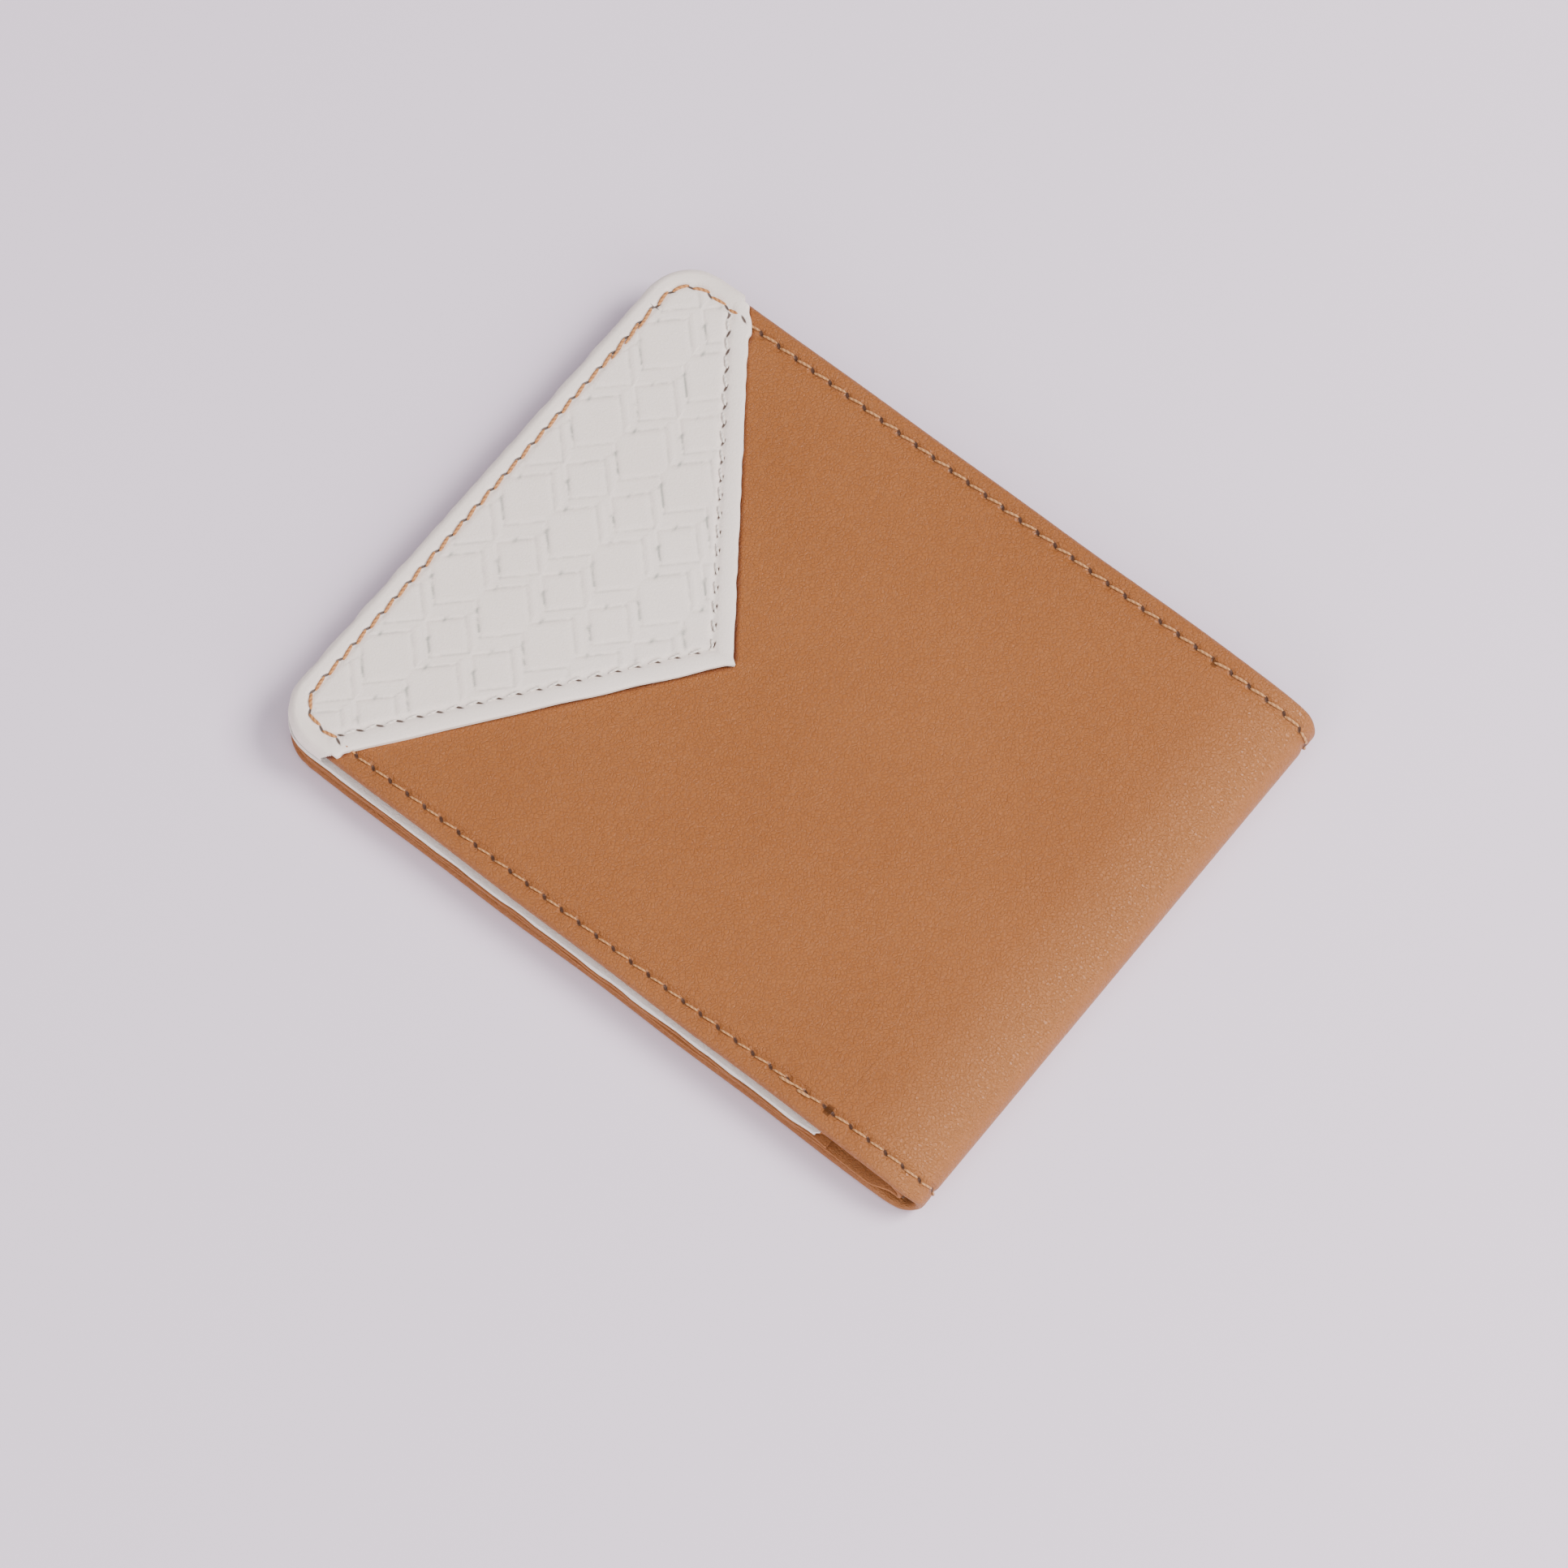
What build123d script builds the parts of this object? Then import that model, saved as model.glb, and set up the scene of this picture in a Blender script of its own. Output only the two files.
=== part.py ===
from build123d import *
from math import cos, degrees, radians, sin, tan
import os

# A bifold leather wallet, closed. Millimetres.
# +X points to the fold, +Y to the mouth of the bill compartment, +Z up.
# The origin is under the middle of the closed wallet, on the plane that the back cover lies on.

# The closed wallet
width = 110.0              # free edge to the outside of the fold
height = 88.4              # bottom edge to the mouth
corner_radius = 7.0        # outline corners at the free edge
front_setback = 0.3        # how far the front half's bottom edge lies behind the back half's

# Layers of one half, from the outside in
cover_leather = 0.9
hem_turn = 0.7             # thinned edge of the cover, turned in
hem_width = 10.0
lining_cloth = 0.2
bill_gap = 0.2             # the empty bill compartment, pressed shut
liner_leather = 0.35       # inner wall of the bill compartment, which runs on round the fold
pocket_leather = 0.35
half_gap = 0.3             # innermost pocket to the middle plane of the closed wallet

# The fold: the front half tapers down to a round bend
taper_angle = 6.5          # degrees
taper_length = 16.3        # start of the taper to the outside of the fold
liner_setback = 3.0        # outside of the cover to the outside of the liner's own small bend
cut_gap = 0.2              # slit between the stiff sections that stand for one bending leather

# The corner patch on the front cover
patch_leather = 0.6
patch_wrap = 0.5           # leather of the patch that wraps round the edge of the cover
patch_apex_x = 43.9        # free edge to the point of the patch
patch_apex_y = 0.6         # above mid-height
patch_low_x = 9.8          # free edge to the patch's end on the bottom edge
patch_high_x = 11.9        # free edge to the patch's end on the mouth edge

# Inside panels
front_panel_gap = 16.9     # fold to the fold-side end of the front panel
back_panel_gap = 14.8
liner_drop = 4.0           # the liner's top edge below the mouth
panel_overhang = 0.5       # raw bottom edge of the front panel past its cover
back_panel_inset = 0.2
first_mouth_drop = 14.4    # mouth of the upper pocket below the wallet's own mouth
mouth_step = 11.0          # each pocket's mouth below the one behind it
pocket_count = 3
pocket_depth = 54.0        # a card's short side
pocket_rim = 3.8           # turned-under bottom edge of the lowest pocket
stiffener_clearance = 0.5

# Seams
seam_inset = 3.1           # from the bottom and mouth edges
seam_inset_free = 2.7      # from the free edge
patch_seam_inset = 2.8
thread_width = 0.5
thread_height = 0.3
groove_clearance = 0.05    # beside a thread
pocket_thread_height = 0.2
closing_seam_start = 1.6   # on the free edge, below the round corner at the mouth
closing_seam_end = 17.8    # its far end on the bottom edge, from the fold
inner_seam_inset = 2.6     # fold-side seam of each panel, from the panel's end
mouth_seam_inset = 1.5     # end of a pocket's seam below its mouth
base_seam_inset = 1.2      # seam that closes a pocket, above its lower edge
hem_seam_overlap = 0.4     # gap between the ends of two seams in line

# Worked-out levels above the outer face of a half
hem_level = cover_leather
lining_level = hem_level + hem_turn
liner_level = lining_level + lining_cloth + bill_gap
pocket_level = liner_level + liner_leather
half_thickness = pocket_level + pocket_count * pocket_leather + half_gap
covers_thickness = 2 * half_thickness

# Worked-out edges
free_edge = -width / 2
fold_line = width / 2
mouth = height / 2
bottom = -height / 2
taper_x = fold_line - taper_length
front_free = free_edge + patch_wrap
front_bottom = bottom + front_setback + patch_wrap
front_mouth = mouth - patch_wrap

# Worked-out bend of the cover: an arc tangent to the back cover and to the taper
slope = radians(taper_angle)
bend_height_share = 1 + cos(slope) - tan(slope) * (1 - sin(slope))
bend_radius = (covers_thickness - tan(slope) * taper_length) / bend_height_share
bend_x = fold_line - bend_radius
bend_end = (bend_x + bend_radius * sin(slope), bend_radius + bend_radius * cos(slope))
bend_step = (180 - taper_angle) / 2      # the bend is shared by two hinges
lower_hinge_angle = -90 + bend_step / 2
upper_hinge_angle = lower_hinge_angle + bend_step
slit_angle = degrees(cut_gap / 2 / bend_radius)

# Worked-out bend of the liner: the same two straight directions, set in from the cover
loop_reach = sin(slope) * (bend_end[0] - fold_line + liner_setback)
loop_rise = cos(slope) * (bend_end[1] - liner_level) - liner_level
loop_radius = (loop_reach + loop_rise) / (1 + cos(slope) - sin(slope))
loop_centre = (fold_line - liner_setback - loop_radius, liner_level + loop_radius)
loop_slit_angle = degrees(cut_gap / 2 / loop_radius)


def half_outline(left, right, low, high, radius):
    """Flat outline of a half: square towards the fold, rounded at the free edge."""
    face = Pos((left + right) / 2, (low + high) / 2) * Rectangle(right - left, high - low)
    corners = face.vertices().filter_by(lambda corner: corner.X < left + 0.01)
    return fillet(corners, radius)


def plate(face, level, thickness):
    """A flat layer whose outer side lies at a level."""
    return extrude(Pos(0, 0, level) * face, amount=thickness)


def flip(shape):
    """Turns a layer stack that is built from the outer face up into its place in the front half."""
    return mirror(shape, about=Plane.XY.offset(half_thickness))


def along_y(face, low, high):
    """Runs a profile, drawn in X and Z, from one height of the wallet to another."""
    return Pos(0, high, 0) * extrude(Plane.XZ * face, amount=high - low)


def ring_part(centre, inner, outer, start, end, low, high):
    """Part of a tube about an axis along Y, between two angles from +X towards +Z."""
    outer_arc = CenterArc(centre, outer, start, end - start)
    inner_arc = CenterArc(centre, inner, start, end - start)
    sides = [Line(outer_arc @ 0, inner_arc @ 0), Line(outer_arc @ 1, inner_arc @ 1)]
    return along_y(make_face([outer_arc, inner_arc] + sides), low, high)


def taper_part(near, far, end_run, low, high):
    """A slab of the tapered stretch, between two depths below its outer face.

    It starts at the slit beside the front half and ends end_run short of the round bend."""
    points = []
    for depth in (near, far):
        start_run = (bend_end[0] - depth * sin(slope) - taper_x - cut_gap / 2) / cos(slope)
        pair = [
            (bend_end[0] - run * cos(slope) - depth * sin(slope),
             bend_end[1] + run * sin(slope) - depth * cos(slope))
            for run in (start_run, end_run)
        ]
        points += pair if depth == near else pair[::-1]
    return along_y(make_face(Polyline(points, close=True)), low, high)


def seam_strip(points, thread, radius=None):
    """Flat strip of a seam's width along its path."""
    path = FilletPolyline(*points, radius=radius) if radius else Line(*points)
    return trace(path, line_width=thread)


def stitched(layer, path_points, level, depth, radius=None):
    """Cuts a seam's groove in the outer side of a layer and gives the layer and its thread."""
    groove = seam_strip(path_points, thread_width + 2 * groove_clearance, radius)
    thread = seam_strip(path_points, thread_width, radius)
    return layer - plate(groove, level, depth), plate(thread, level, depth)


def cover_of_half(left, right, low, high, radius):
    """A cover's leather with its turned-in hem on three sides."""
    outside = half_outline(left, right, low, high, radius)
    window = half_outline(left + hem_width, right, low + hem_width, high - hem_width, 1.0)
    return plate(outside, 0, cover_leather) + plate(outside - window, hem_level, hem_turn)


def pocket_mouth(index):
    """Height of a pocket's mouth; the upper pocket is number 0 and lies deepest."""
    return mouth - first_mouth_drop - index * mouth_step


def pocket_base(index, low):
    """Lower edge of a pocket: the lowest reaches the panel's edge, the others stop above its rim."""
    if index == pocket_count - 1:
        return low
    return max(low + pocket_rim, pocket_mouth(index) - pocket_depth)


def pocket(index, left, right, low, radius):
    """One card pocket; the lowest has a turned-under rim that reaches the liner."""
    level = pocket_level + index * pocket_leather
    base = pocket_base(index, low)
    outside = half_outline(left, right, low, mouth, radius)
    band = Pos((left + right) / 2, (base + pocket_mouth(index)) / 2)
    face = outside & band * Rectangle(right - left, pocket_mouth(index) - base)
    body = plate(face, level, pocket_leather)
    if index == pocket_count - 1:
        rim = Pos((left + right) / 2, low + pocket_rim / 2) * Rectangle(right - left, pocket_rim)
        body += plate(outside & rim, pocket_level, index * pocket_leather)
    return body


def pocket_set(left, right, low, radius):
    """The three pockets of a half and the thread that sews each to what is behind it."""
    seam_x = right - inner_seam_inset
    groove_width = thread_width + 2 * groove_clearance
    pockets = []
    threads = []
    for index in range(pocket_count):
        body = pocket(index, left, right, low, radius)
        level = pocket_level + (index + 1) * pocket_leather - pocket_thread_height
        seam_high = pocket_mouth(index) - mouth_seam_inset
        if index + 1 < pocket_count:
            seam_low = pocket_mouth(index + 1) + hem_seam_overlap
            base = pocket_base(index, low) + base_seam_inset
            base_left = left + seam_inset_free + mouth_seam_inset
            base_run = [(base_left, base), (seam_x - mouth_seam_inset, base)]
            runs = [[(seam_x, seam_low), (seam_x, seam_high)], base_run]
        else:
            runs = [[(seam_x, low + seam_inset), (seam_x, seam_high)]]
        for run in runs:
            body -= plate(seam_strip(run, groove_width), level, pocket_thread_height)
            threads.append(plate(seam_strip(run, thread_width), level, pocket_thread_height))
        pockets.append(body)
    return pockets, threads


parts = {}

# Back half: outer face down, built from the outside in
back_cover = cover_of_half(free_edge, bend_x, bottom, mouth, corner_radius)
lip_end = lower_hinge_angle - slit_angle
bend = (bend_x, bend_radius)
front_low, front_high = front_bottom, front_mouth
lip_inner = bend_radius - cover_leather
back_cover += ring_part(bend, lip_inner, bend_radius, -90, lip_end, front_low, front_high)
hem_inner = bend_radius - lining_level
for low, high in ((front_low, front_low + hem_width), (front_high - hem_width, front_high)):
    back_cover += ring_part(bend, hem_inner, lip_inner, -90, lip_end, low, high)

seam_low = bottom + seam_inset
seam_high = mouth - seam_inset
seam_left = free_edge + seam_inset_free
seam_corner = corner_radius - seam_inset_free
closing_seam_top = seam_high - seam_corner - closing_seam_start
closing_end_x = fold_line - closing_seam_end
back_closing_path = [(seam_left, closing_seam_top), (seam_left, seam_low), (closing_end_x, seam_low)]
back_mouth_path = [
    (seam_left, closing_seam_top + hem_seam_overlap), (seam_left, seam_high), (bend_x, seam_high)]
back_cover, back_closing_seam = stitched(back_cover, back_closing_path, 0, thread_height, seam_corner)
back_cover, back_mouth_seam = stitched(back_cover, back_mouth_path, 0, thread_height, seam_corner)
back_fold_path = [(closing_end_x + hem_seam_overlap, seam_low), (bend_x, seam_low)]
back_cover, back_fold_seam = stitched(back_cover, back_fold_path, 0, thread_height)

parts["back_cover"] = back_cover
parts["back_closing_seam"] = back_closing_seam
parts["back_mouth_seam"] = back_mouth_seam + back_fold_seam

window_inset = hem_width + stiffener_clearance
parts["back_stiffener"] = plate(
    half_outline(free_edge + window_inset, bend_x, bottom + window_inset, mouth - window_inset, 1.0),
    hem_level, hem_turn)
lining_inset = 1.5
parts["back_lining"] = plate(
    half_outline(free_edge + lining_inset, bend_x, bottom + lining_inset, mouth - lining_inset,
                 corner_radius - lining_inset),
    lining_level, lining_cloth)
back_panel_low = bottom + back_panel_inset
liner_top = mouth - liner_drop
back_liner_end = loop_centre[0] - cut_gap / 2
parts["back_liner"] = plate(
    half_outline(free_edge + back_panel_inset, back_liner_end, back_panel_low, liner_top, corner_radius),
    liner_level, liner_leather)
back_pockets, back_threads = pocket_set(
    free_edge + back_panel_inset, fold_line - back_panel_gap, back_panel_low, corner_radius)

# Front half: the same layers, with the patch outside them
front_right = taper_x - cut_gap / 2
front_radius = corner_radius - patch_wrap
front_cover = cover_of_half(front_free, front_right, front_low, front_high, front_radius)
front_outside = half_outline(free_edge, front_right, bottom + front_setback, mouth, corner_radius)

apex = (free_edge + patch_apex_x, patch_apex_y)
low_end = (free_edge + patch_low_x, bottom)
high_end = (free_edge + patch_high_x, mouth)
reach = 20.0               # past the outline, so that the corners are cut by the outline alone
stretch = reach / height
low_run = (low_end[0] - (apex[0] - low_end[0]) * stretch, bottom - (apex[1] - bottom) * stretch)
high_run = (high_end[0] - (apex[0] - high_end[0]) * stretch, mouth + (mouth - apex[1]) * stretch)
outside_x = free_edge - reach
patch_region = make_face(Polyline(
    [apex, high_run, (outside_x, high_run[1]), (outside_x, low_run[1]), low_run], close=True))
patch_face = front_outside & patch_region
edge_face = patch_face - half_outline(front_free, front_right, front_low, front_high, front_radius)
patch_top = plate(patch_face, -patch_leather, patch_leather)
corner_patch = patch_top + plate(edge_face, 0, lining_level)

front_seam_low = front_low + seam_inset - patch_wrap
front_closing_path = [
    (seam_left, closing_seam_top), (seam_left, front_seam_low), (closing_end_x, front_seam_low)]
front_mouth_path = [
    (seam_left, closing_seam_top + hem_seam_overlap), (seam_left, seam_high), (front_right, seam_high)]
front_fold_path = [(closing_end_x + hem_seam_overlap, front_seam_low), (front_right, front_seam_low)]

groove_width = thread_width + 2 * groove_clearance
front_seams = {}
for name, path in (("front_closing_seam", front_closing_path), ("front_mouth_seam", front_mouth_path)):
    groove = seam_strip(path, groove_width, seam_corner)
    thread = seam_strip(path, thread_width, seam_corner)
    front_cover -= plate(groove - patch_face, 0, thread_height)
    corner_patch -= plate(groove, -patch_leather, thread_height)
    on_cover = plate(thread - patch_face, 0, thread_height)
    on_patch = plate(thread, -patch_leather, thread_height) & patch_top
    front_seams[name] = on_cover + on_patch
front_cover, front_fold_seam = stitched(front_cover, front_fold_path, 0, thread_height)
front_seams["front_mouth_seam"] += front_fold_seam

inside_seams = half_outline(
    seam_left + 1.0, front_right, front_seam_low + 1.0, seam_high - 1.0, seam_corner)


def patch_line(thread):
    """A strip of a seam's width that follows the patch's two slanted edges."""
    outer = offset(patch_region, amount=thread / 2 - patch_seam_inset, kind=Kind.INTERSECTION)
    inner = offset(patch_region, amount=-thread / 2 - patch_seam_inset, kind=Kind.INTERSECTION)
    return (outer - inner) & inside_seams


patch_groove = patch_line(groove_width)
patch_thread = patch_line(thread_width)
corner_patch -= plate(patch_groove, -patch_leather, thread_height)

parts["front_cover"] = flip(front_cover)
parts["corner_patch"] = flip(corner_patch)
parts["patch_seam"] = flip(plate(patch_thread, -patch_leather, thread_height))
for name, threads in front_seams.items():
    parts[name] = flip(threads)
parts["front_stiffener"] = flip(plate(
    half_outline(front_free + window_inset, front_right - stiffener_clearance, front_low + window_inset,
                 front_high - window_inset, 1.0),
    hem_level, hem_turn))
parts["front_lining"] = flip(plate(
    half_outline(front_free + lining_inset, front_right, front_low + lining_inset,
                 front_high - lining_inset, front_radius - lining_inset),
    lining_level, lining_cloth))
front_panel_low = front_low - panel_overhang
parts["front_liner"] = flip(plate(
    half_outline(front_free, front_right, front_panel_low, liner_top, front_radius),
    liner_level, liner_leather))
front_pockets, front_threads = pocket_set(
    front_free, fold_line - front_panel_gap, front_panel_low, front_radius)

for index, place in enumerate(("upper", "middle", "lower")):
    parts[f"back_card_pocket_{place}"] = back_pockets[index]
    parts[f"front_card_pocket_{place}"] = flip(front_pockets[index])
parts["back_pocket_seams"] = Compound(children=back_threads)
parts["front_pocket_seams"] = Compound(children=[flip(thread) for thread in front_threads])

# The fold: the cover's leather and hem in two sections, each with its stretch of the two hem seams
seam_places = (front_seam_low, seam_high)
hem_places = ((front_low, front_low + hem_width), (front_high - hem_width, front_high))
bend_sections = {
    "fold_cover": (lower_hinge_angle + slit_angle, upper_hinge_angle - slit_angle),
    "taper_cover": (upper_hinge_angle + slit_angle, 90 - taper_angle),
}
thread_clearance = 0.03    # under a thread in a curved groove
for name, (start, end) in bend_sections.items():
    cover = ring_part(bend, lip_inner, bend_radius, start, end, front_low, front_high)
    for low, high in hem_places:
        cover += ring_part(bend, hem_inner, lip_inner, start, end, low, high)
    if name == "taper_cover":
        cover += taper_part(0, cover_leather, 0, front_low, front_high)
        for low, high in hem_places:
            cover += taper_part(cover_leather, lining_level, 0, low, high)
    threads = []
    for seam_y in seam_places:
        low, high = seam_y - groove_width / 2, seam_y + groove_width / 2
        cover -= ring_part(bend, bend_radius - thread_height, bend_radius, start, end, low, high)
        low, high = seam_y - thread_width / 2, seam_y + thread_width / 2
        floor = bend_radius - thread_height + thread_clearance
        thread = ring_part(bend, floor, bend_radius, start, end, low, high)
        if name == "taper_cover":
            groove = taper_part(0, thread_height, 0, seam_y - groove_width / 2, seam_y + groove_width / 2)
            cover -= groove
            thread += taper_part(0, thread_height - thread_clearance, 0, low, high)
        threads.append(thread)
    parts[name] = cover
    parts[name.replace("cover", "seam")] = Compound(children=threads)

# The liner's small bend and its tapered stretch
loop_inner = loop_radius - liner_leather
loop_low, loop_high = front_panel_low, liner_top
parts["fold_liner"] = ring_part(
    loop_centre, loop_inner, loop_radius, -90 + loop_slit_angle, 90 - taper_angle - loop_slit_angle,
    loop_low, loop_high)
loop_run = (bend_end[0] - loop_centre[0]) * cos(slope) - (bend_end[1] - loop_centre[1]) * sin(slope)
parts["taper_liner"] = taper_part(liner_level, pocket_level, loop_run + cut_gap / 2, loop_low, loop_high)
parts["taper_lining"] = taper_part(
    lining_level, lining_level + lining_cloth, 1.0, front_low + lining_inset, front_high - lining_inset)

os.makedirs("parts", exist_ok=True)
for name, shape in parts.items():
    solids = shape.solids()
    export_step(solids[0] if len(solids) == 1 else Compound(children=solids), f"parts/{name}.step")

# Places of the hinges, which the joints repeat. The front half's own hinge does the work of two at once:
# the upper bend and the small turn where the taper starts.
hinge_distance = bend_radius * radians(bend_step / 2) / sin(radians(bend_step / 2))


def bend_hinge(angle):
    """Place, in X and Z, of a hinge that unrolls its share of the bend without stretching the leather."""
    out_of_bend = Vector(cos(radians(angle)), sin(radians(angle)))
    return Vector(bend_x, bend_radius) + hinge_distance * out_of_bend


lower_hinge = bend_hinge(lower_hinge_angle)
upper_hinge = bend_hinge(upper_hinge_angle)
taper_hinge = Vector(taper_x, covers_thickness)
opened = (taper_hinge - upper_hinge).rotate(Axis.Z, -bend_step) + upper_hinge
swing = bend_step + taper_angle
middle = (taper_hinge + opened) / 2
across = (opened - taper_hinge).rotate(Axis.Z, -90)
front_hinge = middle + across / (2 * tan(radians(swing / 2)))
for name, hinge, reach_angle in (
        ("fold_open", lower_hinge, bend_step),
        ("taper_turn", upper_hinge, bend_step),
        ("front_turn", front_hinge, swing)):
    print(f"{name}: x {hinge.X:.4f}, z {hinge.Y:.4f}, range {reach_angle:.4f}")
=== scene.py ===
import math

import bmesh
import bpy
import numpy as np
from mathutils import Matrix, Vector
from mathutils.kdtree import KDTree


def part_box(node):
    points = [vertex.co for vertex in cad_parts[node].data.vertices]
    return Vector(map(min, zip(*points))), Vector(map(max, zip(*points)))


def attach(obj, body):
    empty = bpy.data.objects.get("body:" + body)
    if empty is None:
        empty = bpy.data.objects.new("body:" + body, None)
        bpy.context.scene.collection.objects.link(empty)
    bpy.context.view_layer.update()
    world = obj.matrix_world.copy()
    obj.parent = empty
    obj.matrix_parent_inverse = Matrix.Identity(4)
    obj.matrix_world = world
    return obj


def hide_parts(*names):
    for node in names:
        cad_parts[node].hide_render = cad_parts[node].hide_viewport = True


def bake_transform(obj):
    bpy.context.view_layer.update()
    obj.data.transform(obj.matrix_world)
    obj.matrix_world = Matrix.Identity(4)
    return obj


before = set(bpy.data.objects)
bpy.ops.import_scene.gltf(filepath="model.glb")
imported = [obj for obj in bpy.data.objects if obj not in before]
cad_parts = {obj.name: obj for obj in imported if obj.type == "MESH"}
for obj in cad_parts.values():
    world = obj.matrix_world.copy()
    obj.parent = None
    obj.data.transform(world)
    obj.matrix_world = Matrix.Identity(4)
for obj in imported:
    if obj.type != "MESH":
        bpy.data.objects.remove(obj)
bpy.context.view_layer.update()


# ---- Camera -----------------------------------------------------------------------------------------
# A long lens looks down at the closed wallet, from the side of its bottom edge and its fold.
# The free edge with the white patch is at the upper left of the view.
def towards(azimuth, elevation):
    """A direction away from the wallet. Azimuth 0 degrees is its bottom edge's side, 90 the fold's."""
    a = math.radians(azimuth)
    e = math.radians(elevation)
    return Vector((math.sin(a) * math.cos(e), -math.cos(a) * math.cos(e), math.sin(e)))


view_azimuth = 38.914
view_elevation = 68.1435
view_roll = math.radians(-0.364)
view_distance = 0.9781
aim = Vector((0.00286, -0.00597, -0.001))

back = towards(view_azimuth, view_elevation)
right = Vector((math.cos(math.radians(view_azimuth)), math.sin(math.radians(view_azimuth)), 0))
up = back.cross(right)
rolled_right = right * math.cos(view_roll) + up * math.sin(view_roll)
rolled_up = up * math.cos(view_roll) - right * math.sin(view_roll)
place = aim + back * view_distance
bpy.ops.object.camera_add(location=place)
camera = bpy.context.object
turn = Matrix((rolled_right, rolled_up, back)).transposed()
camera.matrix_world = Matrix.Translation(place) @ turn.to_4x4()
camera.data.sensor_width = 36
camera.data.lens = 167.7
camera.data.clip_start = 0.05
bpy.context.scene.camera = camera


# ---- Table and light --------------------------------------------------------------------------------
# A plain pale table with a faint lavender cast, and large soft lamps.
# The main lamp stands on the fold's side, so the wallet throws a soft shadow past its free edge.
bpy.ops.object.select_all(action="DESELECT")
bpy.ops.mesh.primitive_plane_add(size=6, location=(0, 0, -0.0001))
table = bpy.context.object
table.name = "table"
table_paint = bpy.data.materials.new("table_paint")
table_paint.use_nodes = True
paint = table_paint.node_tree.nodes["Principled BSDF"]
paint.inputs["Base Color"].default_value = (0.82, 0.715, 0.825, 1)
paint.inputs["Roughness"].default_value = 0.6
paint.inputs["Specular IOR Level"].default_value = 0.25
table.data.materials.append(table_paint)


def soft_lamp(name, azimuth, elevation, distance, size, power, colour):
    """A square lamp that faces the wallet."""
    spot = towards(azimuth, elevation) * distance
    bpy.ops.object.light_add(type="AREA", location=spot)
    lamp = bpy.context.object
    lamp.name = name
    lamp.data.shape = "SQUARE"
    lamp.data.size = size
    lamp.data.energy = power
    lamp.data.color = colour
    lamp.rotation_euler = (-spot).to_track_quat("-Z", "Y").to_euler()


soft_lamp("window_light", 132, 50, 1.15, 0.5, 18.8, (1.0, 0.965, 0.96))
soft_lamp("side_light", 82, 28, 0.85, 0.5, 3.6, (1.0, 0.96, 0.98))
soft_lamp("ceiling_light", 330, 66, 2.4, 2.4, 15, (1.0, 0.965, 1.0))
soft_lamp("edge_light", 8, 18, 1.0, 0.7, 7.5, (1.0, 0.965, 0.97))
world = bpy.data.worlds.new("room")
world.use_nodes = True
room = world.node_tree.nodes["Background"]
room.inputs["Color"].default_value = (0.95, 0.93, 1.0, 1)
room.inputs["Strength"].default_value = 0.445
bpy.context.scene.world = world


# ---- Cover hide -------------------------------------------------------------------------------------
# One tan hide, its edges turned in and pressed round, makes the front cover, the fold and the back cover.
# It is laid flat, shaped, and then folded up. It is cut where the wallet hinges, and each cut is closed.
back_low, back_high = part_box("back_cover")
front_low, front_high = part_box("front_cover")
fold_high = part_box("fold_cover")[1]
outer_top = front_high.z
taper_x = front_high.x + 0.0001            # where the front cover starts to slope down to the fold
lead_slope = math.radians(1.5)             # the hide leaves the flat front gently
lead_reach = 0.004
cover_slope = math.radians(21.5)           # and meets the bend steeply
bend_radius = 0.00298
bend_x = fold_high.x - bend_radius
bend_run = bend_radius * (math.pi - cover_slope)
pinch = 0.0011                             # the hems are drawn in at the bend's middle
pinch_reach = 0.0034

# Distances along the hide from the start of the taper: the front cover lies below nought
run_front = front_low.x - taper_x
run_bend = 0.01459
run_middle = run_bend + bend_run / 2
run_back = run_bend + bend_run
run_end = run_back + bend_x - back_low.x
far = 1.0                                  # past either end
half_height = back_high.y
cover_thickness = 0.0016
corner = 0.007
free_seam = 0.0027                         # from the free edge
long_seam = 0.0031                         # from the back cover's bottom and mouth edges
turned_in = 0.010                          # width of the turned hem
single_share = 0.0009 / cover_thickness    # one thickness of leather, within the hem


def eased(value):
    """A smooth step from 0 to 1."""
    value = np.clip(value, 0, 1)
    return value * value * (3 - 2 * value)


def heading(run):
    """Direction of the hide's outer side along its length, in radians from +X, turning down."""
    lead = lead_slope * eased((run + lead_reach) / (2 * lead_reach))
    taper = lead + (cover_slope - lead_slope) * np.clip(run / run_bend, 0, 1) ** 3
    return taper + (math.pi - cover_slope) * np.clip((run - run_bend) / bend_run, 0, 1)


fine_step = 0.00002
fine_run = np.arange(run_front - 0.004, run_end + 0.004, fine_step)
fine_x = np.cumsum(np.cos(heading(fine_run))) * fine_step
fine_z = -np.cumsum(np.sin(heading(fine_run))) * fine_step
fine_x += back_low.x - np.interp(run_end, fine_run, fine_x)
fine_z -= np.interp(run_end, fine_run, fine_z)


def edge_shift(run):
    """How much the hide's long edges stand in from the back cover's, low side and high side."""
    towards_front = 1 - eased((run - run_bend + 0.004) / 0.014)
    drawn = pinch * np.exp(-((run - run_middle) / pinch_reach) ** 2)
    low = (front_low.y - back_low.y) * towards_front + drawn
    high = (back_high.y - front_high.y) * towards_front + drawn
    return low, high


def fold_up(flat):
    """Takes points of the flat hide (run, height, lift off the outer side) to the folded wallet."""
    run, height, lift = flat[:, 0], flat[:, 1], flat[:, 2]
    low, high = edge_shift(run)
    share = (height + half_height) / (2 * half_height)
    angle = heading(run)
    x = np.interp(run, fine_run, fine_x) + lift * np.sin(angle)
    z = np.interp(run, fine_run, fine_z) + lift * np.cos(angle)
    y = height + low * (1 - share) - high * share
    return np.stack([x, y, z], axis=1)


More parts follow.
